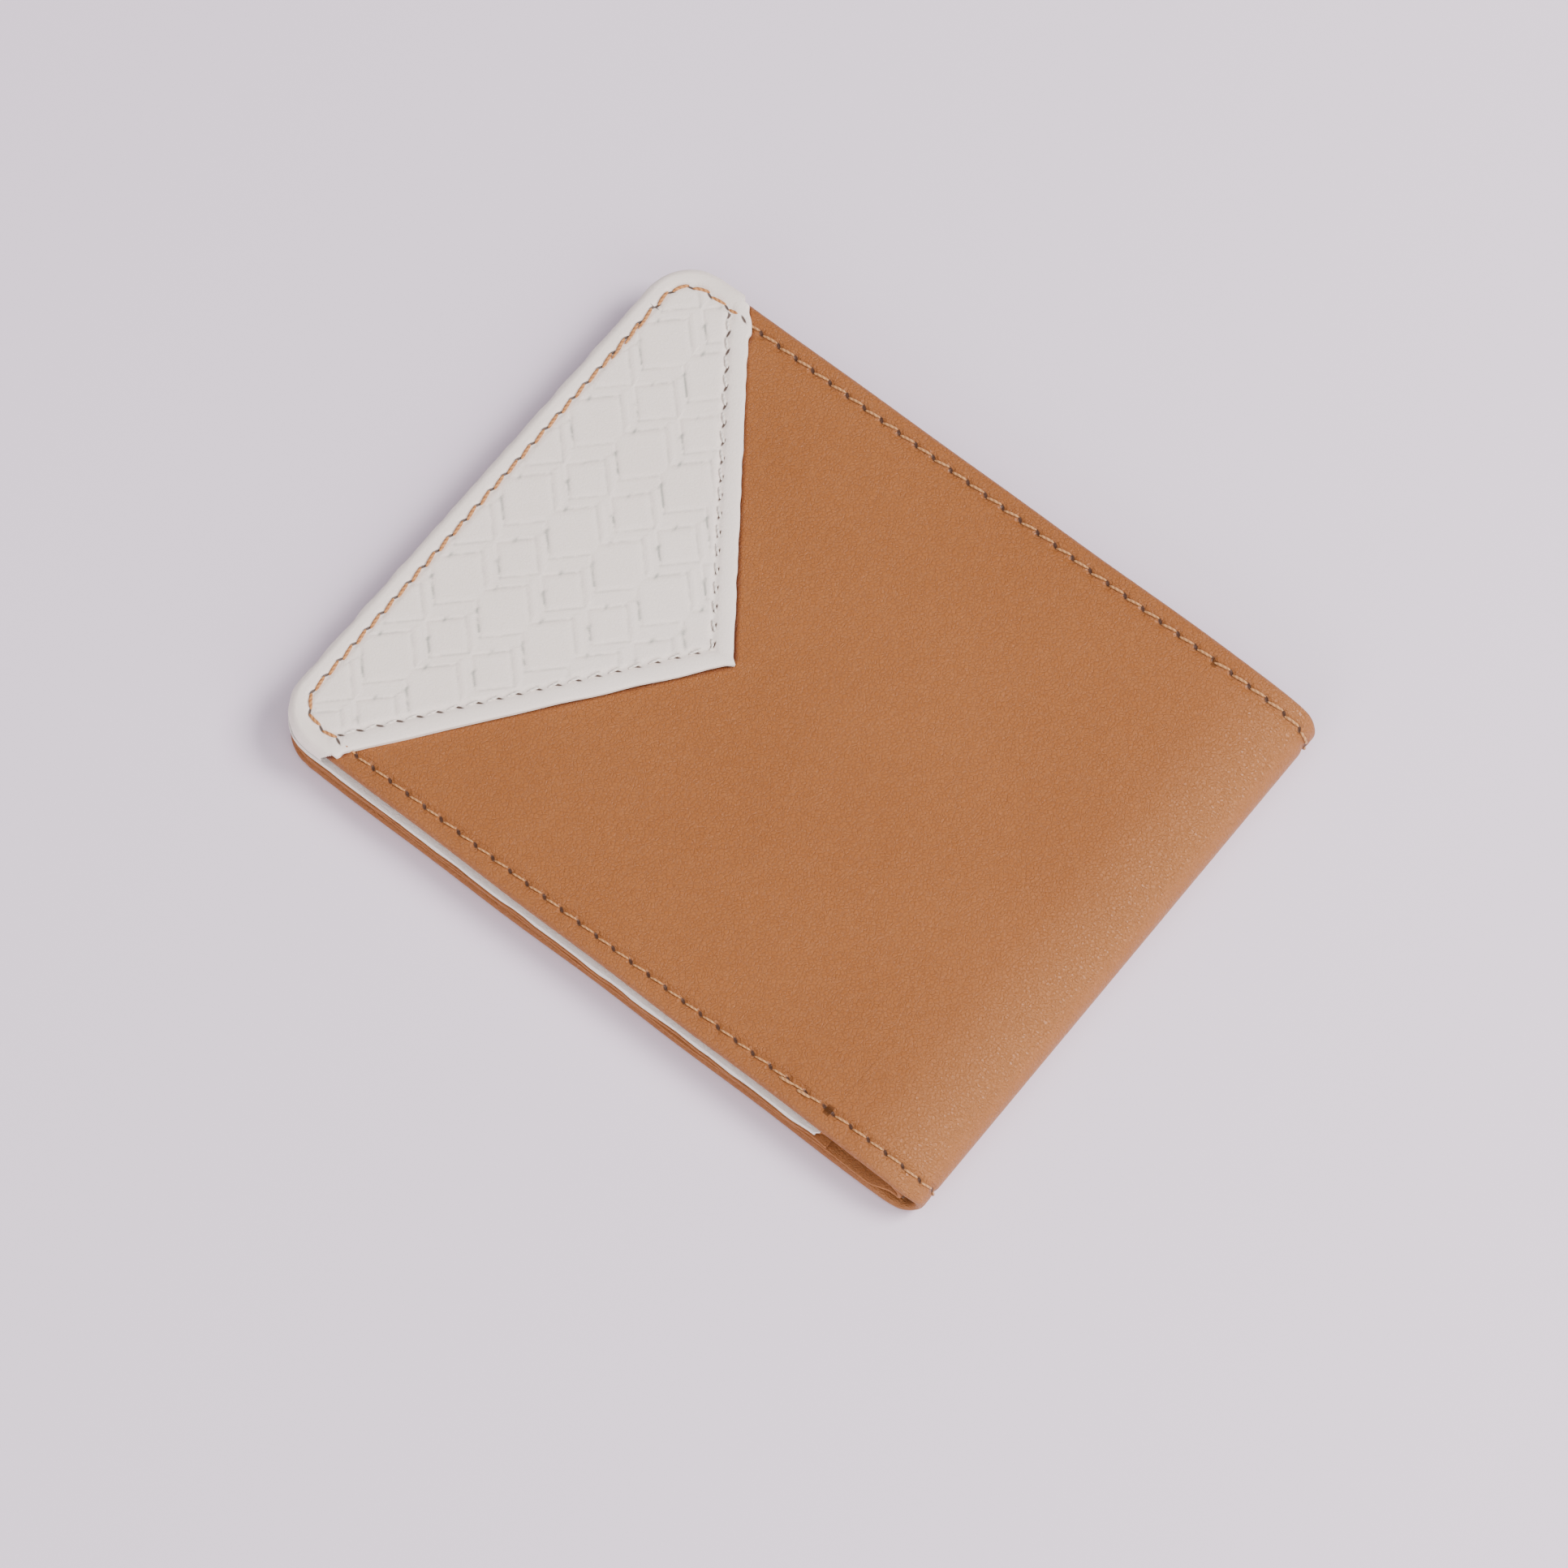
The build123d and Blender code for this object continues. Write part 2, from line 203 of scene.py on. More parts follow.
def rim_distance(run, height, start, end, low, high, radius):
    """Distance inside a rounded outline."""
    across = np.abs(run - (start + end) / 2) - (end - start) / 2 + radius
    along = np.abs(height - (low + high) / 2) - (high - low) / 2 + radius
    outside = np.hypot(np.maximum(across, 0), np.maximum(along, 0))
    return radius - outside - np.minimum(np.maximum(across, along), 0)


def stops(start, end, rim, step, extra=()):
    """Grid lines between two ends: a wide gap for the rounded rim, close lines near it, then wider ones."""
    first = 0.001
    close = 0.0003
    near = [0.0] + [first + close * count for count in range(int(rim / close))]
    middle = np.linspace(start + near[-1], end - near[-1], max(2, int((end - start) / step)))[1:-1]
    lines = [start + d for d in near] + list(middle) + [end - d for d in near[::-1]]
    for line in extra:
        lines = [other for other in lines if abs(other - line) > step * 0.3] + [line]
    return np.array(sorted(lines))


def points_of(piece):
    """A piece's vertices as rows."""
    rows = np.zeros(len(piece.data.vertices) * 3)
    piece.data.vertices.foreach_get("co", rows)
    return rows.reshape(-1, 3)


def move_points(piece, rows):
    """Puts a piece's vertices at these rows."""
    piece.data.vertices.foreach_set("co", rows.ravel())
    piece.data.update()


def keep_flat(piece, rows):
    """Stores where each point lies on the flat leather, for the grain to follow."""
    layer = piece.data.attributes.new("flat", "FLOAT_VECTOR", "POINT")
    layer.data.foreach_set("vector", rows.astype(np.float32).ravel())


def flat_of(piece):
    """Where each point lies on the flat leather, as it was stored."""
    rows = np.zeros(len(piece.data.vertices) * 3)
    piece.data.attributes["flat"].data.foreach_get("vector", rows)
    return rows.reshape(-1, 3)


def flat_slab(name, run_lines, height_lines, radii, thickness, rim_width, rim_steps=5):
    """A slab laid flat, its rim rounded. The corners' radii go start low, start high, end low, end high."""
    across = len(run_lines) - 1
    along = len(height_lines) - 1
    bpy.ops.object.select_all(action="DESELECT")
    bpy.ops.mesh.primitive_grid_add(x_subdivisions=across, y_subdivisions=along, size=1, location=(0, 0, 0))
    slab = bpy.context.object
    slab.name = name
    grid = points_of(slab)
    run = run_lines[np.rint((grid[:, 0] + 0.5) * across).astype(int)]
    height = height_lines[np.rint((grid[:, 1] + 0.5) * along).astype(int)]
    start, end = run_lines[0], run_lines[-1]
    low, high = height_lines[0], height_lines[-1]
    for (side, level), radius in zip(((start, low), (start, high), (end, low), (end, high)), radii):
        if radius == 0:
            continue
        centre_run = side + radius if side == start else side - radius
        centre_height = level + radius if level == low else level - radius
        a = (run - centre_run) * (1 if side == end else -1)
        b = (height - centre_height) * (1 if level == high else -1)
        inside = (a > 0) & (b > 0)
        squeeze = np.where(inside, np.maximum(a, b) / np.maximum(np.hypot(a, b), 1e-9), 1)
        run = np.where(inside, centre_run + (run - centre_run) * squeeze, run)
        height = np.where(inside, centre_height + (height - centre_height) * squeeze, height)
    move_points(slab, np.stack([run, height, np.zeros_like(run)], axis=1))
    solid = slab.modifiers.new("thickness", "SOLIDIFY")
    solid.thickness = thickness
    solid.offset = -1
    bpy.ops.object.modifier_apply(modifier="thickness")
    soft = slab.modifiers.new("rim", "BEVEL")
    soft.width = rim_width
    soft.segments = rim_steps
    soft.limit_method = "ANGLE"
    soft.angle_limit = math.radians(60)
    bpy.ops.object.modifier_apply(modifier="rim")
    bpy.ops.object.shade_smooth()
    return slab


def waves(run, height, size, seed):
    """Slow unevenness of a hand-finished piece, about -1 to 1."""
    draw = np.random.default_rng(seed)
    total = np.zeros_like(run)
    for _ in range(6):
        angle, phase = draw.uniform(0, 2 * math.pi, 2)
        length = size * draw.uniform(0.7, 1.8)
        total += np.sin((run * math.cos(angle) + height * math.sin(angle)) / length * 2 * math.pi + phase)
    return total / 3


def hide_inset(run, height):
    """Distance inside the hide's outline."""
    return rim_distance(run, height, run_front, run_end, -half_height, half_height, corner)


def outer_surface(run, height):
    """The finished lift of the hide's outer side: slack waves, and a groove where thread pulls it down."""
    inset = hide_inset(run, height)
    near_free_edge = (run < run_front + 0.006) | (run > run_end - 0.006)
    seam_line = np.where(near_free_edge, free_seam, long_seam)
    flat_part = 1 - eased((run - run_bend + 0.004) / 0.004)
    groove = 0.00022 * np.exp(-((inset - seam_line) / 0.0005) ** 2)
    crown = 0.00010 * eased(inset / 0.0020) - 0.00026 * eased((inset - 0.004) / 0.028)
    slack = 0.00010 * waves(run, height, 0.08, 3) * eased(inset / 0.01)
    return flat_part * (slack + crown) - groove


hem_lines = [turned_in - 0.0002, turned_in + 0.0002]
cover_runs = stops(run_front, run_end, 0.005, 0.0016,
                   [run_front + d for d in hem_lines] + [run_end - d for d in hem_lines])
bend_lines = np.concatenate([
    np.linspace(-0.006, run_bend, 22), np.linspace(run_bend, run_middle, 17),
    np.linspace(run_middle, run_back, 17), np.linspace(run_back, run_back + 0.006, 6)])
cover_runs = cover_runs[(cover_runs < bend_lines[0] - 0.0004) | (cover_runs > bend_lines[-1] + 0.0004)]
cover_runs = np.unique(np.round(np.concatenate([cover_runs, bend_lines, [0.0]]), 7))
cover_runs = cover_runs[np.concatenate([[True], np.diff(cover_runs) > 0.00003])]
cover_heights = stops(-half_height, half_height, 0.005, 0.0016,
                      [-half_height + d for d in hem_lines] + [half_height - d for d in hem_lines])
hide = flat_slab("cover_hide", cover_runs, cover_heights, (corner,) * 4, cover_thickness, 0.00078)
flat = points_of(hide)
keep_flat(hide, flat)
run, height, lift = flat.T
inset = hide_inset(run, height)
outer_share = 1 + lift / cover_thickness
window = np.where((inset > turned_in) & (outer_share < 0.02), single_share, 1)
thin = 1 - 0.2 * eased((run - run_bend + 0.003) / 0.003) * (1 - eased((run - run_back) / 0.003))
shaped = flat.copy()
shaped[:, 2] = lift * thin * window + outer_share * outer_surface(run, height)
shaped[:, 1] += 0.00010 * waves(run, height, 0.03, 5) * (1 - eased(inset / 0.002))
folded = fold_up(shaped)
folded[:, 2] = np.maximum(folded[:, 2], 0)
move_points(hide, folded)


def cut_piece(source, name, start, end):
    """One stretch of a folded hide between two distances, closed at its cuts, shaded as if uncut."""
    normals = np.zeros(len(source.data.vertices) * 3)
    source.data.vertices.foreach_get("normal", normals)
    normals = normals.reshape(-1, 3)
    mesh = bmesh.new()
    mesh.from_mesh(source.data)
    layer = mesh.verts.layers.float_vector["flat"]
    original = mesh.verts.layers.int.new("original")
    for vertex in mesh.verts:
        vertex[original] = vertex.index
    outside = []
    for face in mesh.faces:
        middle = sum(vertex[layer][0] for vertex in face.verts) / len(face.verts)
        if not start < middle < end:
            outside.append(face)
    bmesh.ops.delete(mesh, geom=outside, context="FACES")
    rims = [edge for edge in mesh.edges if edge.is_boundary]
    capped = bmesh.ops.holes_fill(mesh, edges=rims, sides=0)["faces"] if rims else []
    mesh.faces.index_update()
    caps = set(face.index for face in capped)
    origin = [vertex[original] for vertex in mesh.verts]
    mesh.verts.layers.int.remove(original)
    data = bpy.data.meshes.new(name)
    mesh.to_mesh(data)
    mesh.free()
    loops = np.zeros((len(data.loops), 3))
    for polygon in data.polygons:
        polygon.use_smooth = True
        for loop in polygon.loop_indices:
            if polygon.index in caps:
                loops[loop] = polygon.normal
            else:
                loops[loop] = normals[origin[data.loops[loop].vertex_index]]
    data.normals_split_custom_set(loops)
    piece = bpy.data.objects.new(name, data)
    bpy.context.collection.objects.link(piece)
    return piece


front_cover = cut_piece(hide, "front_cover_leather", -far, 0)
taper_cover = cut_piece(hide, "taper_cover_leather", 0, run_bend)
upper_bend = cut_piece(hide, "fold_leather_upper", run_bend, run_middle)
lower_bend = cut_piece(hide, "fold_leather_lower", run_middle, run_back)
back_cover = cut_piece(hide, "back_cover_leather", run_back, far)
bpy.data.objects.remove(hide)
cover_pieces = [front_cover, taper_cover, upper_bend, lower_bend, back_cover]

# The crease between the front cover and its taper straightens as the wallet opens, about a line at the
# cover's top. Where the leather stands proud of that line its cut edges would press together, so they are
# cut a hair slack. The least slack keeps the two cut faces apart.
least_slack = 0.000002
slack_per_rise = 0.062
for piece, side in ((front_cover, -1), (taper_cover, 1)):
    rows = points_of(piece)
    slack = least_slack + slack_per_rise * np.maximum(rows[:, 2] - outer_top, 0)
    rows[:, 0] += side * slack * (np.abs(flat_of(piece)[:, 0]) < 0.000001)
    move_points(piece, rows)


def carry(piece, place):
    """Makes a piece of the outside move with its body, or, for a stretch of the bend, only bakes its
    transform.
    """
    if place == "upper_bend":
        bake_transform(piece)
    elif place == "lower_bend":
        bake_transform(piece)
    else:
        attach(piece, place)


places = ("front_half", "fold_taper", "upper_bend", "lower_bend", "back_half")
for piece, place in zip(cover_pieces, places):
    carry(piece, place)
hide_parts("front_cover")
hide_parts("taper_cover")
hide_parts("fold_cover")
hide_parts("back_cover")


def node(tree, kind, **values):
    """A shader node with its properties and inputs set."""
    made = tree.nodes.new(kind)
    for key, value in values.items():
        if key in made.inputs:
            made.inputs[key].default_value = value
        else:
            setattr(made, key, value)
    return made


def ramp(tree, source, low, high, start=0.0, end=1.0):
    """Takes a value from one range to another, and holds it at the ends."""
    mapped = node(tree, "ShaderNodeMapRange")
    mapped.inputs["From Min"].default_value = low
    mapped.inputs["From Max"].default_value = high
    mapped.inputs["To Min"].default_value = start
    mapped.inputs["To Max"].default_value = end
    tree.links.new(source, mapped.inputs["Value"])
    return mapped.outputs["Result"]


def sums(tree, operation, first, second=None):
    """One step of arithmetic between sockets or numbers."""
    made = node(tree, "ShaderNodeMath", operation=operation)
    for index, value in enumerate((first, second)):
        if value is None:
            continue
        if isinstance(value, (int, float)):
            made.inputs[index].default_value = value
        else:
            tree.links.new(value, made.inputs[index])
    return made.outputs[0]


def tint(tree, factor, first, second, blend_type="MIX"):
    """Mixes two colours by a factor."""
    mix = node(tree, "ShaderNodeMix", data_type="RGBA", blend_type=blend_type)
    slots = [mix.inputs["Factor"]]
    slots += [entry for entry in mix.inputs if entry.type == "RGBA"]
    for slot, value in zip(slots, (factor, first, second)):
        if isinstance(value, (int, float, tuple)):
            slot.default_value = value
        else:
            tree.links.new(value, slot)
    return [entry for entry in mix.outputs if entry.type == "RGBA"][0]


def stored(tree, name):
    """An attribute of the mesh, as a shader node."""
    return node(tree, "ShaderNodeAttribute", attribute_name=name)


def leather(name, colour, deep, pale, roughness, grain, wrinkles_and_bend_highlight, hole, draw_down=1.0):
    """Smooth dyed leather: pebble grain, faint clouds, fine wrinkling and a painted highlight where it
    bends, and its needle holes with painted shade in them.

    hole is a needle hole's length and width in millimetres, its lean, and its offset from the seam's line.
    """
    finish = bpy.data.materials.new(name)
    finish.use_nodes = True
    tree = finish.node_tree
    link = tree.links.new
    shader = tree.nodes["Principled BSDF"]
    spot = stored(tree, "flat").outputs["Vector"]
    pebble = node(tree, "ShaderNodeTexVoronoi", feature="SMOOTH_F1", Scale=2100, Smoothness=0.5)
    crease = node(tree, "ShaderNodeTexVoronoi", feature="DISTANCE_TO_EDGE", Scale=1900)
    wrinkle = node(tree, "ShaderNodeTexVoronoi", feature="DISTANCE_TO_EDGE", Scale=2300)
    fine = node(tree, "ShaderNodeTexNoise", Scale=4200, Detail=3)
    cloud = node(tree, "ShaderNodeTexNoise", Scale=38, Detail=3)
    fleck = node(tree, "ShaderNodeTexNoise", Scale=700, Detail=5)
    swell = node(tree, "ShaderNodeTexNoise", Scale=330, Detail=2)
    warped = node(tree, "ShaderNodeMixRGB", blend_type="ADD", Fac=0.0003)
    link(spot, warped.inputs["Color1"])
    link(fine.outputs["Color"], warped.inputs["Color2"])
    stretched = node(tree, "ShaderNodeMapping", vector_type="POINT", Scale=(0.36, 1.0, 1))
    link(warped.outputs["Color"], stretched.inputs["Vector"])
    for texture in (fine, cloud, fleck, swell):
        link(spot, texture.inputs["Vector"])
    for texture in (pebble, crease):
        link(warped.outputs["Color"], texture.inputs["Vector"])
    link(stretched.outputs["Vector"], wrinkle.inputs["Vector"])
    split = node(tree, "ShaderNodeSeparateXYZ")
    link(spot, split.inputs["Vector"])
    distance = split.outputs["X"]
    bent = sums(tree, "MULTIPLY", ramp(tree, distance, run_bend - 0.011, run_bend - 0.001),
                ramp(tree, distance, run_back + 0.008, run_back))
    cells = sums(tree, "MULTIPLY", ramp(tree, crease.outputs["Distance"], 0.0, 0.14), 0.55)
    rounded = sums(tree, "SUBTRACT", cells, sums(tree, "MULTIPLY", pebble.outputs["Distance"], 0.5))
    grained = sums(tree, "ADD", rounded, sums(tree, "MULTIPLY", fine.outputs["Fac"], 0.3))
    folds = sums(tree, "MULTIPLY", ramp(tree, wrinkle.outputs["Distance"], 0.0, 0.22),
                 sums(tree, "MULTIPLY", bent, wrinkles_and_bend_highlight * 0.5))
    relief = sums(tree, "ADD", sums(tree, "ADD", grained, folds),
                  sums(tree, "MULTIPLY", swell.outputs["Fac"], 0.25))
    bump = node(tree, "ShaderNodeBump", Strength=grain, Distance=0.00011)
    link(relief, bump.inputs["Height"])

    # Needle holes: the leather is drawn down round each one
    sewn = node(tree, "ShaderNodeSeparateXYZ")
    link(stored(tree, "seam").outputs["Vector"], sewn.inputs["Vector"])
    length, width, lean, offset = hole
    along = sums(tree, "SUBTRACT", sums(tree, "FRACT", sums(tree, "ADD", sewn.outputs["X"], 0.5)), 0.5)
    along = sums(tree, "MULTIPLY", along, 2.9)
    slanted = sums(tree, "SUBTRACT", sewn.outputs["Y"], sums(tree, "MULTIPLY", along, lean))
    slanted = sums(tree, "SUBTRACT", slanted, offset)
    pin = sums(tree, "SQRT", sums(tree, "ADD",
                                  sums(tree, "POWER", sums(tree, "DIVIDE", along, length), 2.0),
                                  sums(tree, "POWER", sums(tree, "DIVIDE", slanted, width), 2.0)))
    pin = sums(tree, "ADD", pin, ramp(tree, sewn.outputs["Z"], 0.75, 0.9, 0.0, 9.0))
    reach = sums(tree, "SQRT", sums(tree, "ADD", sums(tree, "POWER", along, 2.0),
                                    sums(tree, "POWER", slanted, 2.0)))
    reach = sums(tree, "MAXIMUM", reach, sewn.outputs["Z"])
    dip = node(tree, "ShaderNodeBump", Strength=draw_down, Distance=0.00025)
    link(ramp(tree, reach, 0.1, 0.9), dip.inputs["Height"])
    link(bump.outputs["Normal"], dip.inputs["Normal"])
    link(dip.outputs["Normal"], shader.inputs["Normal"])

    # The dye is uneven and sits deeper in the pores, and a painted highlight makes the bend a little paler
    look = tint(tree, ramp(tree, cloud.outputs["Fac"], 0.3, 0.7), deep, colour)
    look = tint(tree, ramp(tree, fleck.outputs["Fac"], 0.45, 0.8, 0.0, 0.14), look, pale)
    look = tint(tree, ramp(tree, crease.outputs["Distance"], 0.0, 0.07, 0.16, 0.0), look, deep)
    look = tint(tree, sums(tree, "MULTIPLY", bent, 0.30 * wrinkles_and_bend_highlight), look, pale)

    # Painted shade gathers beside a piece sewn on top, and painted grey shade lies along the pressed lines
    # of a pattern
    nook = stored(tree, "nook").outputs["Fac"]
    look = tint(tree, ramp(tree, nook, 0.76, 0.97, 0.0, 0.85), look, deep, "MULTIPLY")
    weave_shaded = stored(tree, "weave_shade").outputs["Fac"]
    broken = ramp(tree, fleck.outputs["Fac"], 0.34, 0.54)
    look = tint(tree, sums(tree, "MULTIPLY", weave_shaded, broken), look, (0.33, 0.33, 0.29, 1))
    # Painted shade in each needle hole: a dark slanted spot on the leather
    look = tint(tree, ramp(tree, pin, 0.75, 1.35, 0.93, 0.0), look, (0.045, 0.02, 0.012, 1))
    link(look, shader.inputs["Base Color"])
    gloss = ramp(tree, fleck.outputs["Fac"], 0.3, 0.7, roughness - 0.05, roughness + 0.06)
    link(gloss, shader.inputs["Roughness"])
    shader.inputs["Specular IOR Level"].default_value = 0.27
    return finish


def finish_with(pieces, finish):
    """Gives pieces a finish."""
    for piece in pieces:
        piece.data.materials.clear()
        piece.data.materials.append(finish)


def seam_path(corners, radius):
    """A seam's line through these corners, rounded, as closely spaced points."""
    line = []
    for index, point in enumerate(corners):
        point = np.array(point, dtype=float)
        if index in (0, len(corners) - 1):
            line.append(point)
            continue
        before = np.array(corners[index - 1]) - point
        after = np.array(corners[index + 1]) - point
        before /= np.linalg.norm(before)
        after /= np.linalg.norm(after)
        for step in range(13):
            angle = step / 12 * math.pi / 2
            line.append(point + (before + after) * radius - after * radius * math.cos(angle)
                        - before * radius * math.sin(angle))
    line = np.array(line)
    length = np.concatenate([[0], np.cumsum(np.linalg.norm(np.diff(line, axis=0), axis=1))])
    even = np.linspace(0, length[-1], int(length[-1] / 0.00008))
    return np.stack([np.interp(even, length, line[:, 0]), np.interp(even, length, line[:, 1])], axis=1)


def flat_height(y):
    """The height on the flat hide that ends up at y on the front cover."""
    low, high = front_low.y - back_low.y, back_high.y - front_high.y
    return (y - (low - high) / 2) / (1 - (low + high) / (2 * half_height))


pitch = 0.00295                            # one stitch of the tan seams
patch_pitch = 0.00275                      # one stitch of the white seam


def stitch_count(path, spacing):
    """How many stitches of about this length fill a seam."""
    return round(np.linalg.norm(np.diff(path, axis=0), axis=1).sum() / spacing)


def headings_along(path):
    """The direction of a seam at each of its points."""
    direction = np.gradient(path, axis=0)
    return direction / np.linalg.norm(direction, axis=1)[:, None]


def mark_seams(piece, where, paths, spacings=(pitch,) * 5):
    """Stores how many stitches along the nearest seam a point lies, and its offset and distance in mm."""
    tree = KDTree(sum(len(path) for path in paths))
    marks = []
    for path, spacing in zip(paths, spacings):
        counts = np.linspace(0, stitch_count(path, spacing), len(path))
        for point, count, ahead in zip(path, counts, headings_along(path)):
            tree.insert((point[0], point[1], 0), len(marks))
            marks.append((point[0], point[1], ahead[0], ahead[1], count))
    tree.balance()
    rows = np.zeros((len(where), 3))
    for index, (a, b) in enumerate(where[:, :2]):
        found = marks[tree.find((a, b, 0))[1]]
        da, db = a - found[0], b - found[1]
        off = (da * found[3] - db * found[2]) * 1000
        rows[index] = (found[4], min(max(off, -2), 2), math.hypot(da, db) * 1000)
    layer = piece.data.attributes.new("seam", "FLOAT_VECTOR", "POINT")
    layer.data.foreach_set("vector", rows.astype(np.float32).ravel())


# The lines of the outer seams on the flat hide. A needle hole of each hem's seam falls on the crease.
seam_x = back_low.x + free_seam
closing_end = fold_high.x - 0.0178
seam_start = 0.0352
hem_start = seam_start + 0.0004
seam_round = corner - free_seam
front_seam_low = flat_height(front_low.y + 0.0026)
front_seam_high = flat_height(back_high.y - long_seam)
back_seam_low = back_low.y + long_seam
front_free_run = seam_x - taper_x
back_free_run = run_end - free_seam
back_closing_run = run_back + bend_x - closing_end
front_closing = seam_path([(front_free_run, seam_start), (front_free_run, front_seam_low),
                           (closing_end - taper_x, front_seam_low)], seam_round)
back_closing = seam_path([(back_closing_run, back_seam_low), (back_free_run, back_seam_low),
                          (back_free_run, seam_start)], seam_round)
hem_low = seam_path([(0.0002, front_seam_low), (run_bend, (front_seam_low + back_seam_low) / 2),
                     (back_closing_run - 0.0004, back_seam_low)], 0.0)
front_mouth = seam_path([(front_free_run, hem_start), (front_free_run, front_seam_high),
                         (0, front_seam_high)], seam_round)
hem_high = seam_path([(0, front_seam_high), (back_free_run, front_seam_high),
                      (back_free_run, hem_start)], seam_round)
for piece in cover_pieces:
    mark_seams(piece, flat_of(piece), [front_closing, front_mouth, back_closing, hem_low, hem_high])
tan_leather = leather("tan_leather", (0.288, 0.101, 0.027, 1), (0.264, 0.090, 0.0228, 1),
                      (0.42, 0.175, 0.057, 1), 0.38, 0.95, 1.4, (0.42, 0.29, 0.5, 0.0))
finish_with(cover_pieces, tan_leather)


# ---- Corner patch -----------------------------------------------------------------------------------
# A white leather triangle with a woven pattern pressed into it, sewn on over the front cover.
# It wraps round the free edge. Its two slanted edges are cut raw and stand a little proud of the tan hide.
patch_low, patch_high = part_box("corner_patch")
patch_top = patch_high.z
apex_run = patch_high.x - taper_x
apex_height = 0.0006
low_end_x = patch_low.x + 0.0098
high_end_x = patch_low.x + 0.0119
patch_start = patch_low.x - taper_x
patch_lift = patch_top - outer_top
patch_wrap = 0.0011                        # radius of the leather round the edge
patch_inset = 0.0028                       # from its outline to its seams
slant_share = 0.79                         # distance from a slanted edge, over distance along the run
small_centre = Vector((-0.043275, 0.009275))
large_centre = Vector((-0.039825, 0.002025))
weave_across = 0.007875
weave_along = 0.01476
small_reach = 0.00372
large_reach = 0.00493


def slanted_edge(height):
    """Where the patch ends towards the fold at each height, with its turned ends and a nub at its point."""
    from_apex = height - apex_height
    upper = apex_run + (high_end_x - taper_x - apex_run) * from_apex / (patch_high.y - apex_height)
    lower = apex_run + (low_end_x - taper_x - apex_run) * from_apex / (patch_low.y - apex_height)
    ends = np.exp(-((height - patch_high.y + 0.0034) / 0.0012) ** 4)
    ends = ends + np.exp(-((height - patch_low.y - 0.0008) / 0.0011) ** 4)
    nub = np.exp(-((height - apex_height) / 0.0005) ** 2)
    return np.where(height > apex_height, upper, lower) + 0.0006 * ends + 0.0004 * nub


def diamond(x, y, centre, reach):
    """Offsets from the nearest of a lattice of diamonds, and how far outside its outline a point lies."""
    dx = np.mod(x - centre.x + weave_across / 2, weave_across) - weave_across / 2
    dy = np.mod(y - centre.y + weave_along / 2, weave_along) - weave_along / 2
    return dx, dy, (np.abs(dx) + np.abs(dy) - reach) / math.sqrt(2)


def weave_relief(x, y):
    """The pressed pattern's height: cushions in the squares, sunk outlines, a raised strip on one side."""
    total = np.zeros_like(x)
    for centre, reach in ((small_centre, small_reach), (large_centre, large_reach)):
        dx, dy, out = diamond(x, y, centre, reach)
        total += 0.00006 * eased(-out / 0.0009)
        side = (dx + dy) / math.sqrt(2) - reach / math.sqrt(2)
        total += 0.00007 * np.exp(-((side - 0.0007) / 0.00038) ** 2) * (np.abs(dx - dy) < reach * 1.15)
        total -= 0.00009 * np.exp(-(out / 0.00017) ** 2) * np.where(dx < 0, 1.0, 0.6)
    return total


def painted_weave_shade(x, y):
    """Painted shade along the pressed lines: on their sides towards the free edge, and at their cut
    corners.
    """
    total = np.zeros_like(x)
    for centre, reach, cut in ((small_centre, small_reach, 0.0019), (large_centre, large_reach, 0.0029)):
        dx, dy, out = diamond(x, y, centre, reach)
        line = np.exp(-(out / 0.00017) ** 2)
        left = (dx < -reach * 0.12) & (dx > -cut - 0.0002)
        total = np.maximum(total, line * left * np.where(dy < 0, 1.0, 0.4))
        total = np.maximum(total, line * (dx > 0) * 0.35)
        tick = np.hypot(dx + cut, (np.abs(dy) - (reach - cut)) / 2.2)
        total = np.maximum(total, np.exp(-(tick / 0.00022) ** 2))
        point = np.minimum(np.hypot(dx, np.abs(dy) - reach), np.hypot(dx - reach, dy))
        total = np.maximum(total, 0.5 * np.exp(-(point / 0.00022) ** 2))
    return total


bpy.ops.object.select_all(action="DESELECT")
bpy.ops.mesh.primitive_grid_add(x_subdivisions=200, y_subdivisions=440, size=1, location=(0, 0, 0))
patch = bpy.context.object
patch.name = "corner_patch_leather"
unit = points_of(patch)
inner_low = patch_low.y + patch_wrap
inner_high = patch_high.y - patch_wrap
height = inner_low + (unit[:, 1] + 0.5) * (inner_high - inner_low)
corner_inner = corner - patch_wrap
corner_gap = np.maximum(inner_low + corner_inner - height, height - inner_high + corner_inner)
corner_gap = np.maximum(corner_gap, 0)
left = patch_start + patch_wrap + corner_inner - np.sqrt(np.maximum(corner_inner ** 2 - corner_gap ** 2, 0))
run = left + (unit[:, 0] + 0.5) * (slanted_edge(height) - left)
move_points(patch, np.stack([run, height, np.full_like(run, patch_lift)], axis=1))


def past_slant(r, h):
    """How far a point lies beyond the patch's slanted edges."""
    return r - slanted_edge(np.array([h]))[0]


